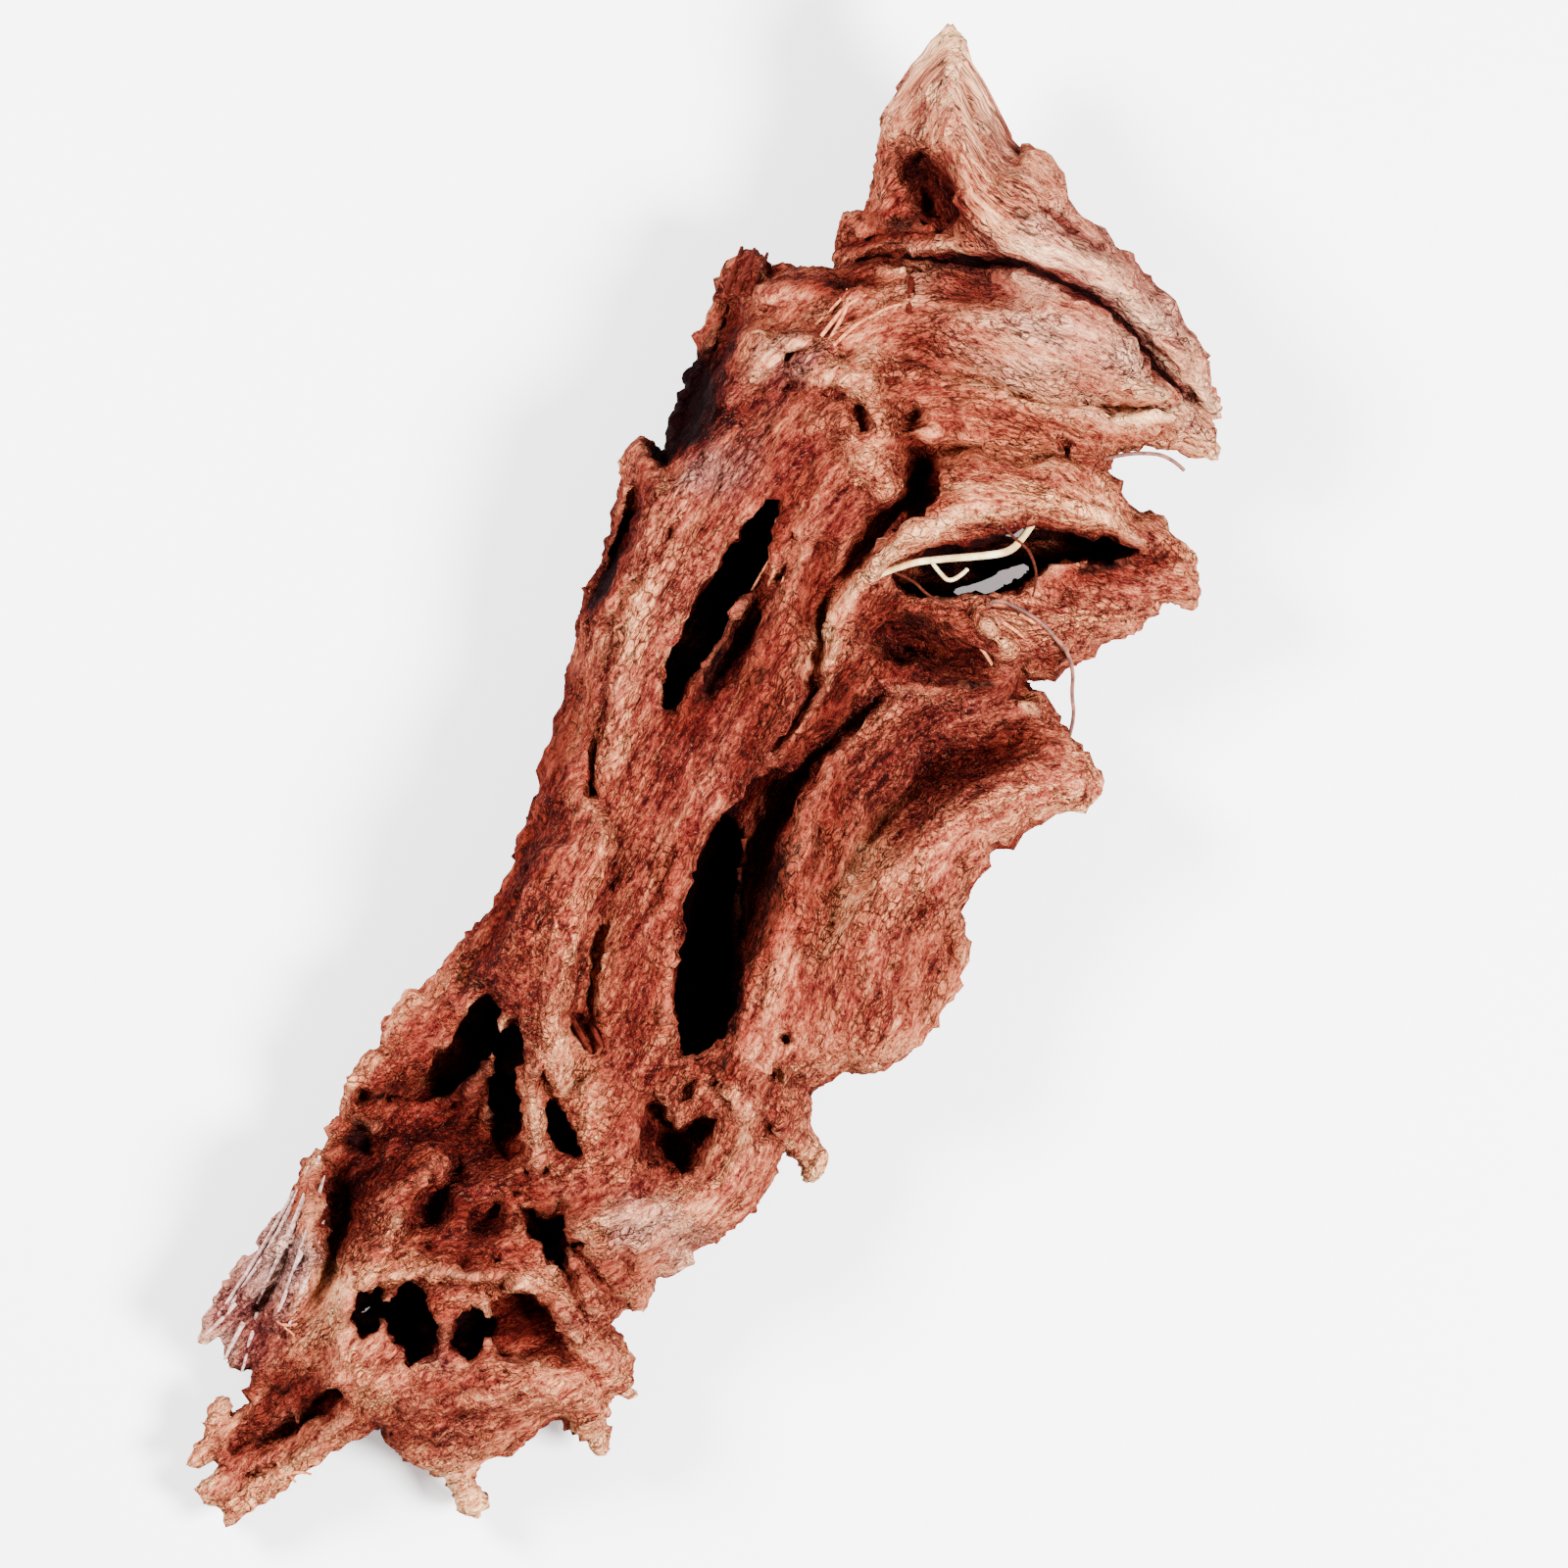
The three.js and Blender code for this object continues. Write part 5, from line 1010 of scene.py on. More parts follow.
def plan_columns(across, down):
    """The edge distance, and the front's and the back's height, over the plan."""
    points = np.stack([across.ravel(), down.ravel(), np.zeros(across.size)], axis=1)
    ragged = layered_noise(points / 22, 3).reshape(across.shape) * 3.0
    edge = inside_outline(OUTLINE, across, down) + OUTLINE_GROWTH + ragged
    wander_u = across + layered_noise(points / 55, 11).reshape(across.shape) * 8.0
    wander_v = down + layered_noise(points / 55, 17).reshape(across.shape) * 8.0
    middle = blend_of(MIDDLE, across, down, 2)
    top = blend_of(FRONT, wander_u, wander_v, 2, 36.0)
    for way in CRESTS.values():
        distance, height, width = nearest_on_way(way, wander_u, wander_v)
        top = smooth_max(top, height - CREST_DROP * (distance / width) ** CREST_POWER, CREST_BLEND)
    for way in VALLEYS.values():
        distance, depth, width = nearest_on_way(way, wander_u, wander_v)
        top = top - depth * np.maximum(1 - (distance / width) ** 2, 0) ** 2
    for way in TEETH.values():
        distance, height, width = nearest_on_way(way, across, down)
        top = smooth_max(top, height - 30 * (distance / width) ** 2, 5)
    for u, v, depth, width in DENTS:
        distance = np.hypot(wander_u - u, wander_v - v)
        top = top - depth * np.maximum(1 - (distance / (1.3 * width)) ** 2, 0) ** 2
    for way in CRACKS.values():
        distance, depth, width = nearest_on_way(way, across, down)
        top = top - depth * np.maximum(1 - (distance / (1.35 * width)) ** 2, 0)
    bottom = middle - BACK_BODY
    for way in KEELS.values():
        distance, height, width = nearest_on_way(way, wander_u, wander_v)
        bottom = smooth_min(bottom, height + CREST_DROP * (distance / width) ** 2, CREST_BLEND)
    inward = np.clip(edge / EDGE_ROUNDING, 0, 1)
    rounding = np.sqrt(inward * (2 - inward))
    return edge, middle + (top - middle) * rounding, middle + (bottom - middle) * rounding


def cut_hollow(field, hollow, axes):
    """Takes one hollow out of the field, inside the box that it can reach."""
    way = hollow["way"] if len(hollow["way"]) > 1 else hollow["way"] * 2
    tall = hollow["tall"]
    reach = max(point[3] for point in way) + 3 * HOLLOW_BLEND + CELL
    spans = []
    for n, stretch in enumerate((1, 1, tall)):
        low = min(point[n] for point in way) - reach * stretch
        high = max(point[n] for point in way) + reach * stretch
        spans.append(slice(*np.searchsorted(axes[n], (low, high))))
    ranges = [axis[span] for axis, span in zip(axes, spans)]
    across, down, up = np.meshgrid(*ranges, indexing="ij", sparse=True)
    nearest = None
    for (u0, v0, h0, r0), (u1, v1, h1, r1) in zip(way, way[1:]):
        du, dv, dh = u1 - u0, v1 - v0, (h1 - h0) / tall
        rise = (up - h0) / tall
        t = ((across - u0) * du + (down - v0) * dv + rise * dh) / (du * du + dv * dv + dh * dh + 1e-9)
        t = np.clip(t, 0, 1)
        off = np.sqrt((across - u0 - t * du) ** 2 + (down - v0 - t * dv) ** 2 + (rise - t * dh) ** 2)
        off = off - (r0 + t * (r1 - r0))
        nearest = off if nearest is None else np.minimum(nearest, off)
    part = field[tuple(spans)]
    field[tuple(spans)] = smooth_min(part, nearest.astype(np.float32), HOLLOW_BLEND)


def cut_well(field, floor, outline, axes):
    """Takes a steep hollow out of the field, with a slightly rough wall."""
    spans = []
    for n in range(2):
        low = min(point[n] for point in outline) - 5 * CELL
        high = max(point[n] for point in outline) + 5 * CELL
        spans.append(slice(*np.searchsorted(axes[n], (low, high))))
    across, down = np.meshgrid(axes[0][spans[0]], axes[1][spans[1]], indexing="ij")
    points = np.stack([across.ravel(), down.ravel(), np.zeros(across.size)], axis=1)
    rough = layered_noise(points / 12, 5).reshape(across.shape) * 2.0
    outside = -inside_outline(outline, across, down) + rough
    up = axes[2][None, None, :]
    part = field[tuple(spans)]
    cut = smooth_max(outside[..., None] + 0.05 * (up - 200), floor - up, 16)
    field[tuple(spans)] = smooth_min(part, cut.astype(np.float32), 4)


def sample_field():
    axes = [np.arange(low, high, CELL, dtype=np.float32) for low, high in PLAN_BOX]
    across, down = np.meshgrid(axes[0], axes[1], indexing="ij")
    edge, top, bottom = plan_columns(across, down)
    up = axes[2][None, None, :]
    field = smooth_min(top[..., None] - up, up - bottom[..., None], FRONT_BLEND)
    field = smooth_min(field, edge[..., None], EDGE_BLEND).astype(np.float32)
    for floor, outline in WELLS.values():
        cut_well(field, floor, outline, axes)
    for hollow in HOLLOWS:
        cut_hollow(field, hollow, axes)
    field = np.minimum(field, up)
    for side in (field[0], field[-1], field[:, 0], field[:, -1], field[..., 0], field[..., -1]):
        np.minimum(side, -1, out=side)
    return axes, field, (edge, top, bottom)


def surface_of(axes, field):
    """Surface nets: a point in each cell that the surface passes through, and the quads
    between them."""
    solid = field > 0
    shape = np.array(field.shape) - 1
    mixed = np.zeros(shape, np.int8)
    for corner in np.ndindex(2, 2, 2):
        window = tuple(slice(c, c + n) for c, n in zip(corner, shape))
        mixed += solid[window]
    cells = np.argwhere((mixed > 0) & (mixed < 8))
    index = np.full(shape, -1, np.int32)
    index[tuple(cells.T)] = np.arange(len(cells))
    sums = np.zeros((len(cells), 3))
    counts = np.zeros(len(cells))
    for axis in range(3):
        for corner in np.ndindex(2, 2, 2):
            if corner[axis]:
                continue
            step = np.eye(3, dtype=int)[axis]
            here = field[tuple((cells + corner).T)].astype(float)
            there = field[tuple((cells + corner + step).T)].astype(float)
            crosses = (here > 0) != (there > 0)
            share = here / np.where(crosses, here - there, 1)
            point = np.array(corner) + step * share[:, None]
            sums += np.where(crosses[:, None], point, 0)
            counts += crosses
    start = np.array([axis[0] for axis in axes])
    points = start + CELL * (cells + sums / counts[:, None])
    quads = []
    for axis in range(3):
        side, other = [n for n in range(3) if n != axis]
        low = np.moveaxis(solid, axis, 0)
        changes = np.moveaxis(low[1:] != low[:-1], 0, axis)
        at = np.argwhere(changes)
        at = at[(at[:, side] > 0) & (at[:, other] > 0)]
        inner = solid[tuple(at.T)]
        near, far = np.eye(3, dtype=int)[side], np.eye(3, dtype=int)[other]
        ring = [index[tuple((at - move).T)] for move in (near + far, far, 0 * near, near)]
        quad = np.stack(ring, axis=1)
        turned = inner if axis != 1 else ~inner
        quads.append(np.where(turned[:, None], quad, quad[:, ::-1]))
    return points, np.concatenate(quads)


# From the plan to the scene.


def place(points):
    """Points of [across, down, up] in plan units, in metres in the part's frame."""
    points = np.asarray(points, float)
    x = (points[:, 0] - PLAN_CENTRE[0]) * PLAN_UNIT
    y = (PLAN_CENTRE[1] - points[:, 1]) * PLAN_UNIT
    cos, sin = math.cos(PLAN_TURN), math.sin(PLAN_TURN)
    return np.stack([x * cos - y * sin, x * sin + y * cos, points[:, 2] * PLAN_UNIT], axis=1)


def mesh_object(name, points, faces):
    mesh = bpy.data.meshes.new(name)
    mesh.vertices.add(len(points))
    mesh.vertices.foreach_set("co", np.asarray(points, np.float32).ravel())
    mesh.loops.add(faces.size)
    mesh.loops.foreach_set("vertex_index", faces.astype(np.int32).ravel())
    mesh.polygons.add(len(faces))
    mesh.polygons.foreach_set("loop_start", np.arange(0, faces.size, 4, dtype=np.int32))
    mesh.update(calc_edges=True)
    mesh.validate()
    mesh.shade_smooth()
    made = bpy.data.objects.new(name, mesh)
    bpy.context.scene.collection.objects.link(made)
    return made


def vertex_normals(mesh):
    normals = np.empty(3 * len(mesh.vertices), np.float32)
    mesh.vertex_normals.foreach_get("vector", normals)
    return normals.reshape(-1, 3)


def set_attribute(mesh, name, values):
    attribute = mesh.attributes.new(name, "FLOAT_VECTOR", "POINT")
    attribute.data.foreach_set("vector", np.asarray(values, np.float32).ravel())


def fibre_relief(grain):
    """How far each point moves out of the surface for its fibres, ridges and pores."""
    along, aside, up = (grain[:, n] for n in range(3))
    broad = layered_noise(np.stack([along / 110, aside / 26, up / 34], axis=1), 21)
    ribs = layered_noise(np.stack([along / 60, aside / 11, up / 15], axis=1), 31)
    fine = noise(np.stack([along / 24, aside / 6.0, up / 8.0], axis=1), 41)
    lumps = layered_noise(np.stack([along / 20, aside / 18, up / 18], axis=1), 51)
    pores = noise(np.stack([along / 13, aside / 7.5, up / 8.0], axis=1), 61)
    pitted = 9.0 * np.maximum(pores - 0.3, 0)
    fissures = 16 * np.minimum(np.abs(ribs), 0.22)
    bent = layered_noise(np.stack([along / 150, aside / 70, up / 70], axis=1), 71)
    layers = aside / 32 + 1.3 * bent
    share = layers - np.floor(layers)
    patches = layered_noise(np.stack([along / 80, aside / 50, up / 50], axis=1), 81)
    torn = np.clip(patches + 0.35, 0, 1)
    ledges = 9.0 * torn * (np.minimum(share, 5 * (1 - share)) - 0.42)
    return 4.5 * broad + fissures + 2.4 * fine + 4.4 * lumps - pitted + ledges - 2.6


def strength_along(ways, points):
    """The greatest strength that these ways have at each point, fading over their half width."""
    strength = np.zeros(len(points))
    for way in ways.values():
        distance, most, width = nearest_on_way(way, points[:, 0], points[:, 1])
        strength = np.maximum(strength, most * np.exp(-((distance / (1.1 * width)) ** 2)))
    return strength


def paleness_of(points):
    """How pale each point is: on the painted light ways, and up to 1 at the outline itself."""
    rim = np.clip(1 - inside_outline(OUTLINE, points[:, 0], points[:, 1]) / RIM_WIDTH, 0, 1)
    return np.maximum(rim, strength_along(PAINTED_LIGHT_WAYS, points))


def open_sky(points, start, shape):
    """How much of the sky each point sees past the wood round it, from 0 to 1."""
    cells = np.round((points[:, :2] - start) / CELL).astype(int)
    heights = np.full(shape, -np.inf)
    np.maximum.at(heights, (cells[:, 0], cells[:, 1]), points[:, 2])
    padded = np.pad(heights, SKY_STEPS[-1], constant_values=-np.inf)
    seen = np.zeros(shape)
    for turn in range(SKY_WAYS):
        angle = 2 * np.pi * turn / SKY_WAYS
        rise = np.zeros(shape)
        for step in SKY_STEPS:
            right = SKY_STEPS[-1] + round(step * np.cos(angle))
            down = SKY_STEPS[-1] + round(step * np.sin(angle))
            other = padded[right : right + shape[0], down : down + shape[1]]
            with np.errstate(invalid="ignore"):
                rise = np.fmax(rise, (other - heights) / (step * CELL))
        seen += 1 / (1 + rise**2) / SKY_WAYS
    return sample(seen, start, CELL, points[:, :2])


def thin_underside(wood, normals):
    """Takes nearly half of the faces away, most of them on the underside and steep walls."""
    underside = wood.vertex_groups.new(name="underside")
    turned_down = np.flatnonzero(normals[:, 2] < UNDERSIDE_SLOPE)
    underside.add(turned_down.tolist(), 1.0, "REPLACE")
    fewer = wood.modifiers.new("fewer_faces", "DECIMATE")
    fewer.ratio = FACES_KEPT
    fewer.vertex_group = underside.name


def wear_and_shade_of(points, normals, start, field, top, bottom):
    """How much wood lies close round each point, and wider round it, and how sunk it is, which the material
    turns into painted shade.
    """
    filled = np.clip(field / CELL + 0.5, 0, 1)
    crease = sample(box_blur(filled, CREASE_REACH), start, CELL, points + CREASE_LIFT * normals)
    cavity = sample(box_blur(filled, CAVITY_REACH), start, CELL, points + CAVITY_LIFT * normals)
    below = sample(top, start[:2], CELL, points[:, :2]) - points[:, 2]
    above = points[:, 2] - sample(bottom, start[:2], CELL, points[:, :2])
    deep = np.clip((below - SUNK_START) / SUNK_DEPTH, 0, 1)
    sunk = deep * np.clip((above - SUNK_START) / SUNK_CLEARANCE, 0, 1)
    return np.stack([crease, cavity, sunk], axis=1)


def grain_at(points, start):
    """The way along the fibres, the way across them and the height, at each point."""
    along, aside = grain_grids()
    places = points[:, :2]
    ways = [sample(grid, start[:2], GRAIN_CELL, places) for grid in (along, aside)]
    return np.stack([*ways, points[:, 2]], axis=1)


def wood_piece():
    """The wood, and a function for the height of its front at places on the plan."""
    axes, field, (_, top, bottom) = sample_field()
    start = np.array([axis[0] for axis in axes])
    points, quads = surface_of(axes, field)
    wood = mesh_object("driftwood_wood", place(points), quads)
    turn_back = Matrix.Rotation(-PLAN_TURN, 3, "Z")
    normals = vertex_normals(wood.data) @ np.array(turn_back).T * (1, -1, 1)
    grain = grain_at(points, start)
    moved = points + normals * fibre_relief(grain)[:, None]
    moved[:, 2] = np.maximum(moved[:, 2], 0)
    wood.data.vertices.foreach_set("co", place(moved).astype(np.float32).ravel())
    wood.data.update()
    tones = [blend_of(TONES, points[:, 0], points[:, 1], n, TONE_SOFTNESS) for n in (2, 3, 4)]
    open_share = open_sky(moved, start[:2], top.shape)
    sky = np.where(normals[:, 2] > DOWNWARD, open_share, DOWNWARD_SKY)
    # The shade attribute carries painted shade from these ways and from the sky a point sees, and the
    # paleness, which is partly painted light.
    shade = strength_along(SHADES, points)
    set_attribute(wood.data, "grain", grain * PLAN_UNIT * 1000)
    set_attribute(wood.data, "wear_and_painted_shade", wear_and_shade_of(points, normals, start, field, top, bottom))
    set_attribute(wood.data, "tone", np.stack(tones, axis=1))
    set_attribute(wood.data, "shade", np.stack([shade, sky, paleness_of(points)], axis=1))
    thin_underside(wood, normals)
    return wood, lambda places: sample(top, start[:2], CELL, places)


# Materials.


class Value:
    """A node's output that takes part in sums, so that a material reads as a formula."""

    def __init__(self, tree, socket):
        self.tree = tree
        self.socket = socket

    def node(self, kind, settings=None, **inputs):
        made = self.tree.nodes.new(kind)
        for name, setting in (settings or {}).items():
            setattr(made, name, setting)
        for name, value in inputs.items():
            numbered = name[1:].isdigit()
            socket = made.inputs[int(name[1:]) if numbered else name.replace("_", " ")]
            if isinstance(value, Value):
                self.tree.links.new(value.socket, socket)
            else:
                socket.default_value = value
        return made

    def maths(self, operation, first, second=0.0):
        made = self.node("ShaderNodeMath", {"operation": operation}, i0=first, i1=second)
        return Value(self.tree, made.outputs[0])

    def __add__(self, other):
        if self.socket.type == "VECTOR":
            made = self.node("ShaderNodeVectorMath", {"operation": "ADD"}, i0=self, i1=other)
            return Value(self.tree, made.outputs[0])
        return self.maths("ADD", self, other)

    def __radd__(self, other):
        return self.maths("ADD", other, self)

    def __sub__(self, other):
        return self.maths("SUBTRACT", self, other)

    def __rsub__(self, other):
        return self.maths("SUBTRACT", other, self)

    def __mul__(self, other):
        return self.maths("MULTIPLY", self, other)

    def __rmul__(self, other):
        return self.maths("MULTIPLY", other, self)

    def size(self):
        return self.maths("ABSOLUTE", self)

    def ramp(self, low, high):
        """0 at low and 1 at high, smooth between them and the other way round if high is less."""
        smooth = {"interpolation_type": "SMOOTHSTEP"}
        made = self.node("ShaderNodeMapRange", smooth, i0=self, i1=low, i2=high, i3=0.0, i4=1.0)
        return Value(self.tree, made.outputs[0])

    def colours(self, stops):
        """The colour that the stops of [position, code] give for this value."""
        made = self.node("ShaderNodeValToRGB", None, i0=self)
        elements = made.color_ramp.elements
        while len(elements) < len(stops):
            elements.new(0.5)
        for element, (position, code) in zip(elements, stops):
            element.position = position
            element.color = colour(code)
        return Value(self.tree, made.outputs[0])

    def mix_colour(self, first, second):
        """The first colour where this value is 0, and the second where it is 1."""
        made = self.node("ShaderNodeMix", {"data_type": "RGBA"}, i0=self, i6=first, i7=second)
        return Value(self.tree, made.outputs[2])

    def scaled(self, factors):
        made = self.node("ShaderNodeVectorMath", {"operation": "MULTIPLY"}, i0=self, i1=factors)
        return Value(self.tree, made.outputs[0])

    def parts(self):
        made = self.node("ShaderNodeSeparateXYZ", None, i0=self)
        return [Value(self.tree, output) for output in made.outputs]

    def noise(self, detail=3.0, roughness=0.55, scale=1.0):
        made = self.node(
            "ShaderNodeTexNoise", None, Vector=self, Scale=scale, Detail=detail, Roughness=roughness
        )
        return Value(self.tree, made.outputs["Fac"])

    def borders(self):
        """The distance to the nearest border between cells."""
        edges = {"feature": "DISTANCE_TO_EDGE"}
        made = self.node("ShaderNodeTexVoronoi", edges, Vector=self, Scale=1.0)
        return Value(self.tree, made.outputs["Distance"])

    def cells(self, scale=1.0):
        made = self.node("ShaderNodeTexVoronoi", None, Vector=self, Scale=scale)
        return Value(self.tree, made.outputs["Distance"])


def colour(code):
    """A colour for a shader socket, from its usual six digits."""
    channels = [int(code[n : n + 2], 16) / 255 for n in (0, 2, 4)]
    return [c / 12.92 if c < 0.04045 else ((c + 0.055) / 1.055) ** 2.4 for c in channels] + [1.0]


def new_material(name):
    material = bpy.data.materials.new(name)
    material.use_nodes = True
    tree = material.node_tree
    return material, tree, tree.nodes["Principled BSDF"]


def attribute(tree, name):
    made = tree.nodes.new("ShaderNodeAttribute")
    made.attribute_name = name
    return Value(tree, made.outputs["Vector"])


# The wood's colours from the darkest, in its grooves where painted shade darkens it, to the palest, on its
# ridges where wear and a painted highlight pale it: [position, colour].
WOOD_STOPS = [
    (0.0, "25060a"), (0.2, "5a1a18"), (0.4, "863c2e"), (0.58, "b06446"), (0.76, "d68f66"),
    (1.0, "f9c090"),
]


def wood_material():
    material, tree, shader = new_material("weathered_wood")
    grain = attribute(tree, "grain")
    crease, cavity, sunk = attribute(tree, "wear_and_painted_shade").parts()
    lightness_and_painted_light, orange, grey = attribute(tree, "tone").parts()
    shade, sky, pale = attribute(tree, "shade").parts()

    broad = grain.scaled((0.02, 0.12, 0.1)).noise(3.0)
    streak = grain.scaled((0.07, 0.5, 0.45)).noise(4.0, 0.6)
    fibre = grain.scaled((0.26, 0.8, 0.76)).noise(4.0, 0.75)
    dashes = grain.scaled((0.5, 1.05, 1.0)).noise(3.0, 0.75)
    specks = grain.scaled((0.85, 1.5, 1.5)).noise(3.0, 0.8)
    crackle = (grain + 0.9 * (fibre - 0.5)).scaled((0.32, 0.62, 0.6)).borders().ramp(0.09, 0.01)
    blotch = grain.scaled((0.07, 0.11, 0.11)).noise(4.0, 0.6)

    tone = 0.485 + 0.7 * (broad - 0.5) + 1.1 * (streak - 0.5)
    tone = tone + 1.1 * (fibre - 0.5) + 1.1 * (dashes - 0.5)
    # Painted shade and light in the tone: darker in creases and hollows, paler on ridges and on the painted
    # light ways, and the listed lightness, partly painted.
    tone = tone + 0.3 * lightness_and_painted_light + 0.15 * (0.5 - crease) + 0.5 * (0.4 - cavity) + 0.15 * pale
    base = tone.colours(WOOD_STOPS)
    warm = (orange + 1.2 * (blotch - 0.5)).ramp(0.1, 1.0)
    base = (0.6 * warm).mix_colour(base, base.scaled((1.12, 0.92, 0.74)))
    bleached = (grey + 0.5 * (blotch - 0.5)).ramp(0.2, 0.6)
    weathered = tone.ramp(0.05, 0.95).mix_colour(colour("54343a"), colour("ecc4b4"))
    base = (0.6 * bleached).mix_colour(base, weathered)
    split = (grain.scaled((0.035, 0.42, 0.36)).noise(3.0, 0.5) - 0.5).size().ramp(0.016, 0.002)
    split = split * (blotch + 0.3 * (fibre - 0.5)).ramp(0.42, 0.56)
    base = (0.85 * split).mix_colour(base, colour("2a0a07"))
    flecks = grain.scaled((0.8, 2.2, 2.2)).cells(0.8).ramp(0.34, 0.14) * blotch.ramp(0.3, 0.62)
    base = (0.7 * flecks).mix_colour(base, colour("3a140b"))
    crackle = crackle * (blotch + 0.4 * (streak - 0.5)).ramp(0.4, 0.6)
    base = (0.7 * crackle).mix_colour(base, colour("3a100a"))
    base = (0.6 * dashes.ramp(0.42, 0.32)).mix_colour(base, colour("330d08"))
    base = (0.35 * specks.ramp(0.56, 0.66)).mix_colour(base, colour("e0a87c"))
    # Painted shade: darker where the wood round a point hides much of the sky from it.
    painted_sky_shade = (sky + 0.2 * (streak - 0.5) + 0.08 * pale).ramp(0.9, 0.5)
    base = (0.85 * painted_sky_shade).mix_colour(base, base.scaled((0.42, 0.19, 0.21)))
    # Worn edges, partly a painted highlight: convex edges paler.
    worn_edges_and_highlight = (0.5 - crease + 0.12 * (specks - 0.5)).ramp(0.1, 0.26)
    base = (0.15 * worn_edges_and_highlight).mix_colour(base, colour("f0b888"))
    # Painted shade along the shade ways: darker, and black where strongest.
    shaded = shade + 0.3 * (broad - 0.5) + 0.5 * (blotch - 0.5) + 0.6 * (fibre - 0.5)
    # Painted shade: darker where much wood lies round a point, in creases and hollows.
    low = (cavity + 0.08 * (broad - 0.5)).ramp(0.45, 0.66)
    base = (0.62 * low).mix_colour(base, base.scaled((0.42, 0.19, 0.2)))
    base = (0.8 * shaded.ramp(0.15, 0.7)).mix_colour(base, base.scaled((0.42, 0.14, 0.17)))
    base = (0.95 * shaded.ramp(0.68, 1.0)).mix_colour(base, colour("0d0203"))
    # Painted shadow: darker, then black, the deeper a point is sunk below the front.
    sunken = sunk + 0.12 * (streak - 0.5)
    base = (0.85 * sunken.ramp(0.08, 0.4)).mix_colour(base, base.scaled((0.3, 0.08, 0.1)))
    base = (0.97 * sunken.ramp(0.4, 0.8)).mix_colour(base, colour("0d0203"))
    tree.links.new(base.socket, shader.inputs["Base Color"])

    rough = 0.78 + 0.2 * fibre
    tree.links.new(rough.socket, shader.inputs["Roughness"])
    shader.inputs["Specular IOR Level"].default_value = 0.02
    height = fibre + 0.9 * dashes + 0.4 * specks - 0.5 * flecks - 0.8 * split - 0.6 * crackle
    bump = grain.node("ShaderNodeBump", None, Strength=1.0, Distance=0.0022, Height=height)
    tree.links.new(bump.outputs[0], shader.inputs["Normal"])
    return material


def root_material(name, light, dark):
    material, tree, shader = new_material(name)
    position = Value(tree, tree.nodes.new("ShaderNodeTexCoord").outputs["Object"])
    patches = position.noise(3.0, 0.6, 260.0)
    rings = position.noise(2.0, 0.6, 1400.0)
    base = patches.ramp(0.35, 0.7).mix_colour(colour(dark), colour(light))
    tree.links.new(base.socket, shader.inputs["Base Color"])
    shader.inputs["Roughness"].default_value = 0.7
    bump = position.node("ShaderNodeBump", None, Strength=0.4, Distance=0.0003, Height=rings)
    tree.links.new(bump.outputs[0], shader.inputs["Normal"])
    return material


def fibre_material(name, code):
    material, tree, shader = new_material(name)
    position = Value(tree, tree.nodes.new("ShaderNodeTexCoord").outputs["Object"])
    patches = position.noise(3.0, 0.7, 900.0).ramp(0.35, 0.65)
    base = colour(code)
    dark = [0.45 * base[0], 0.3 * base[1], 0.3 * base[2], 1.0]
    tree.links.new(patches.mix_colour(dark, base).socket, shader.inputs["Base Color"])
    shader.inputs["Roughness"].default_value = 0.85
    shader.inputs["Specular IOR Level"].default_value = 0.02
    return material


# Rootlets.


def rootlet(name, ways, material, thinness=ROOTLET_THINNESS):
    """A curve with a round section along each way."""
    curve = bpy.data.curves.new(name, "CURVE")
    curve.dimensions = "3D"
    curve.bevel_depth = 1.0
    curve.bevel_resolution = 3
    curve.use_fill_caps = True
    for way in ways:
        spline = curve.splines.new("NURBS")
        spline.points.add(len(way) - 1)
        spline.order_u = 3
        spline.use_endpoint_u = True
        positions = place([point[:3] for point in way])
        for point, position, described in zip(spline.points, positions, way):
            point.co = (*position, 1)
            point.radius = thinness * described[3] * PLAN_UNIT
    curve.materials.append(material)
    made = bpy.data.objects.new(name, curve)
    bpy.context.scene.collection.objects.link(made)
    return made


def loose_fibres(name, code, ways, front):
    """Curves whose heights are measured from the front of the wood."""
    lifted = []
    for way in ways:
        heights = front(np.array([point[:2] for point in way], float))
        lifted.append([[u, v, low + rise, r] for (u, v, rise, r), low in zip(way, heights)])
    return rootlet(name, lifted, fibre_material(name, code), 1.0)


# The stage.


def area_light(name, position, target, size, power):
    light = bpy.data.lights.new(name, "AREA")
    light.shape = "DISK"
    light.size = size
    light.energy = power
    made = bpy.data.objects.new(name, light)
    made.location = position
    made.rotation_euler = (Vector(target) - Vector(position)).to_track_quat("-Z", "Y").to_euler()
    bpy.context.scene.collection.objects.link(made)


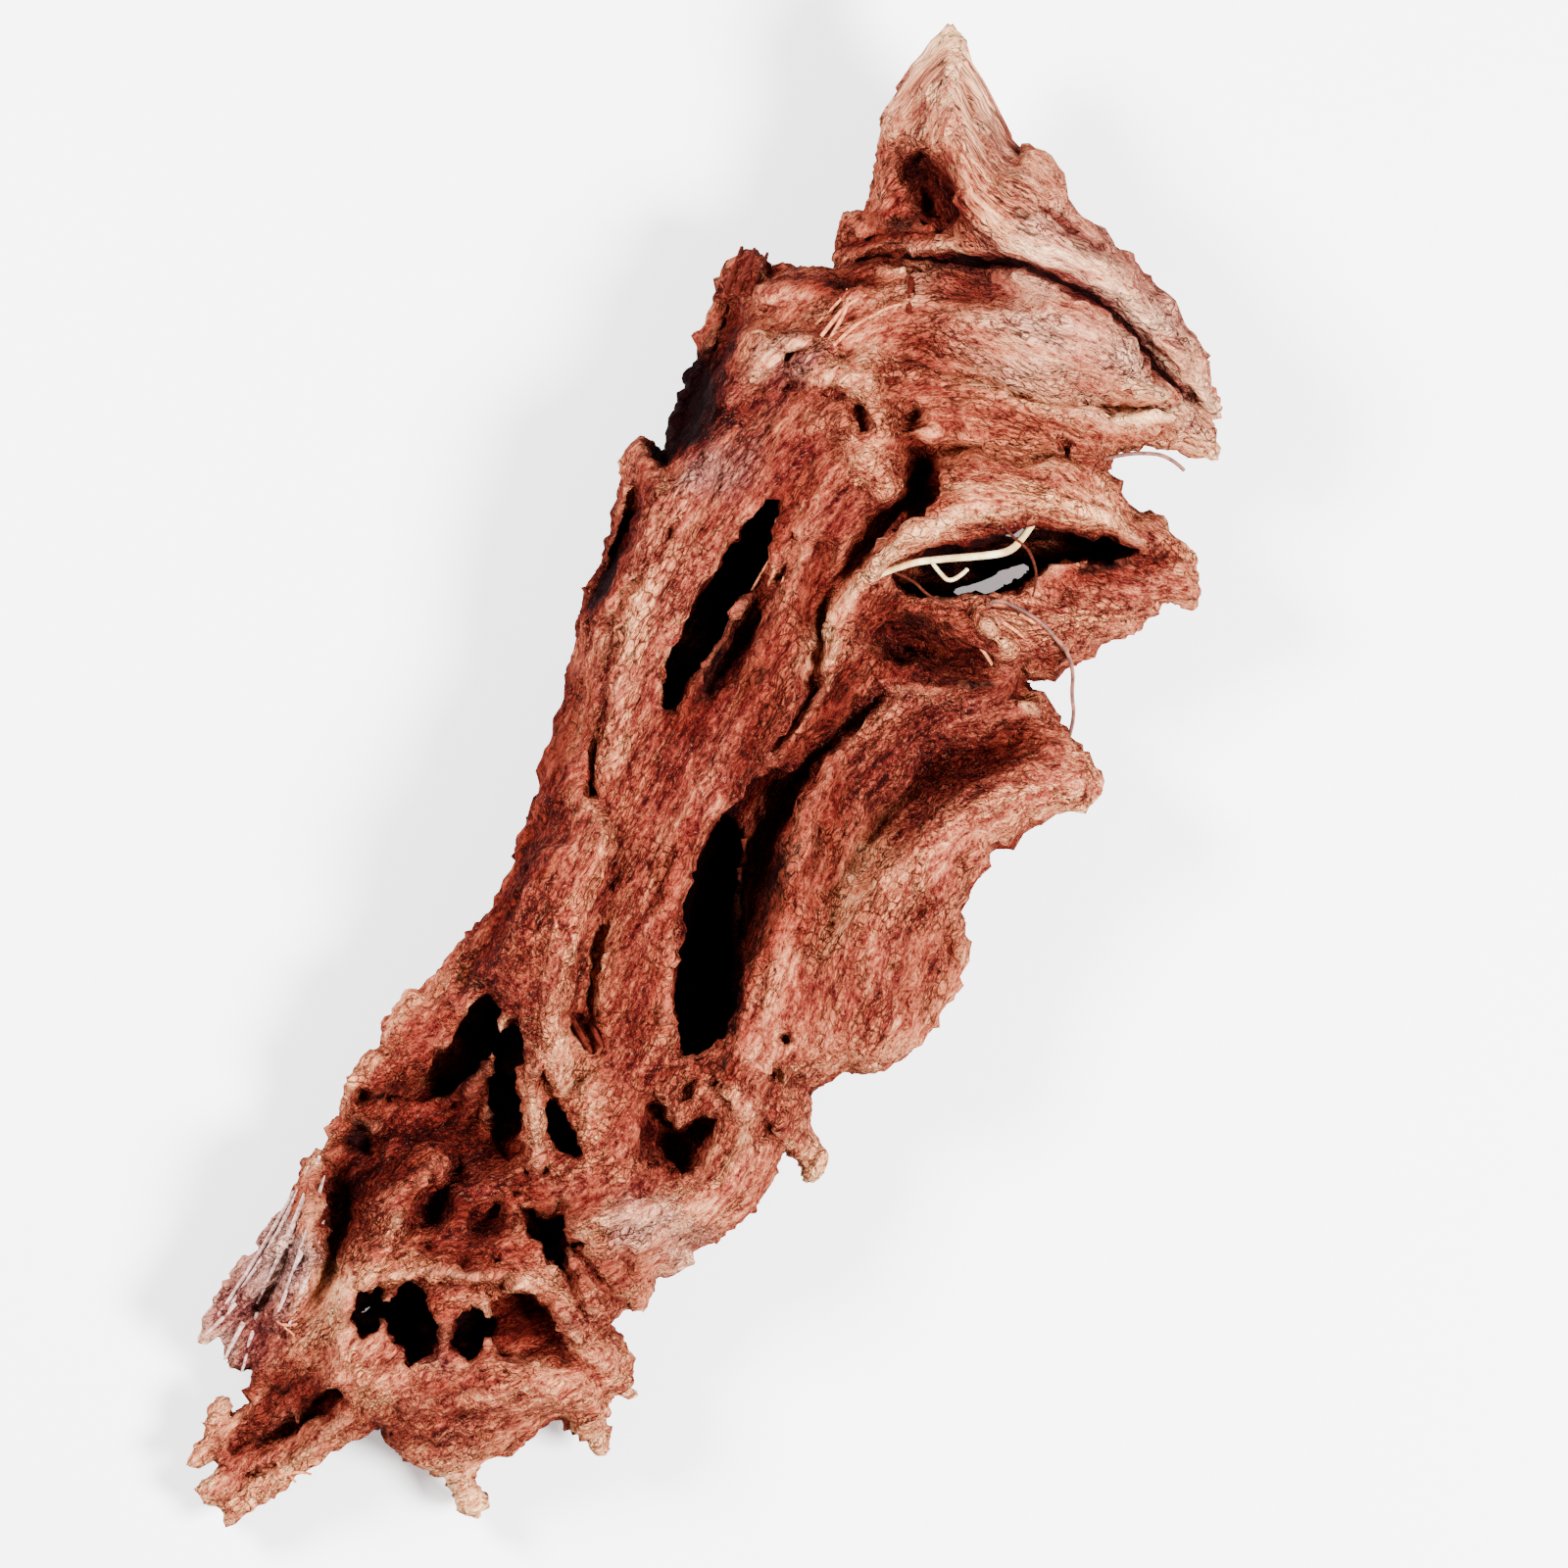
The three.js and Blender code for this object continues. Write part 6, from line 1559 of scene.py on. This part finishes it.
def build_stage():
    floor_material, _, shader = new_material("pale_floor")
    shader.inputs["Base Color"].default_value = (*[FLOOR_LIGHTNESS] * 3, 1)
    shader.inputs["Emission Color"].default_value = (1, 1, 1, 1)
    shader.inputs["Emission Strength"].default_value = FLOOR_GLOW
    shader.inputs["Roughness"].default_value = 0.9
    bpy.ops.mesh.primitive_plane_add(size=FLOOR_SIZE, location=(0, 0, 0))
    floor = bpy.context.object
    floor.name = "floor"
    floor.data.materials.append(floor_material)
    world = bpy.data.worlds.new("studio")
    bpy.context.scene.world = world
    world.use_nodes = True
    background = world.node_tree.nodes["Background"]
    background.inputs["Color"].default_value = (1, 1, 1, 1)
    background.inputs["Strength"].default_value = WORLD_STRENGTH
    right = Vector((math.cos(PLAN_TURN), math.sin(PLAN_TURN), 0))
    up = Vector((-math.sin(PLAN_TURN), math.cos(PLAN_TURN), 0))
    key = 0.85 * right - 0.35 * up + Vector((0, 0, 1.15))
    fill = -0.9 * right + 0.5 * up + Vector((0, 0, 1.1))
    area_light("key", key, LIGHT_TARGET, LIGHT_SIZE, KEY_POWER)
    area_light("fill", fill, LIGHT_TARGET, LIGHT_SIZE, FILL_POWER)


def build_camera():
    camera = bpy.data.cameras.new("camera")
    camera.sensor_width = SENSOR
    camera.lens = SENSOR * VIEW_HEIGHT / VIEW_WIDTH
    camera.clip_end = 20
    made = bpy.data.objects.new("camera", camera)
    x, y, _ = place([[*VIEW_CENTRE, 0]])[0]
    made.location = (x, y, OUTLINE_LEVEL + VIEW_HEIGHT)
    made.rotation_euler = (0, 0, PLAN_TURN)
    bpy.context.scene.collection.objects.link(made)
    bpy.context.scene.camera = made


def main():
    wood, front = wood_piece()
    wood.data.materials.append(wood_material())
    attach(wood, "root")
    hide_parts("driftwood")
    pale = root_material("pale_root", "ead9a6", "b58f55")
    brown = root_material("brown_root", "7a4130", "3d1a12")
    for node, ways in ROOTLETS.items():
        piece = rootlet(node + "_fine", ways, pale if node == "pale_rootlet" else brown)
        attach(piece, "root")
        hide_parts(node)
    for name, (code, ways) in FIBRES.items():
        piece = loose_fibres(name, code, ways, front)
        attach(piece, "root")
    build_stage()
    build_camera()


main()
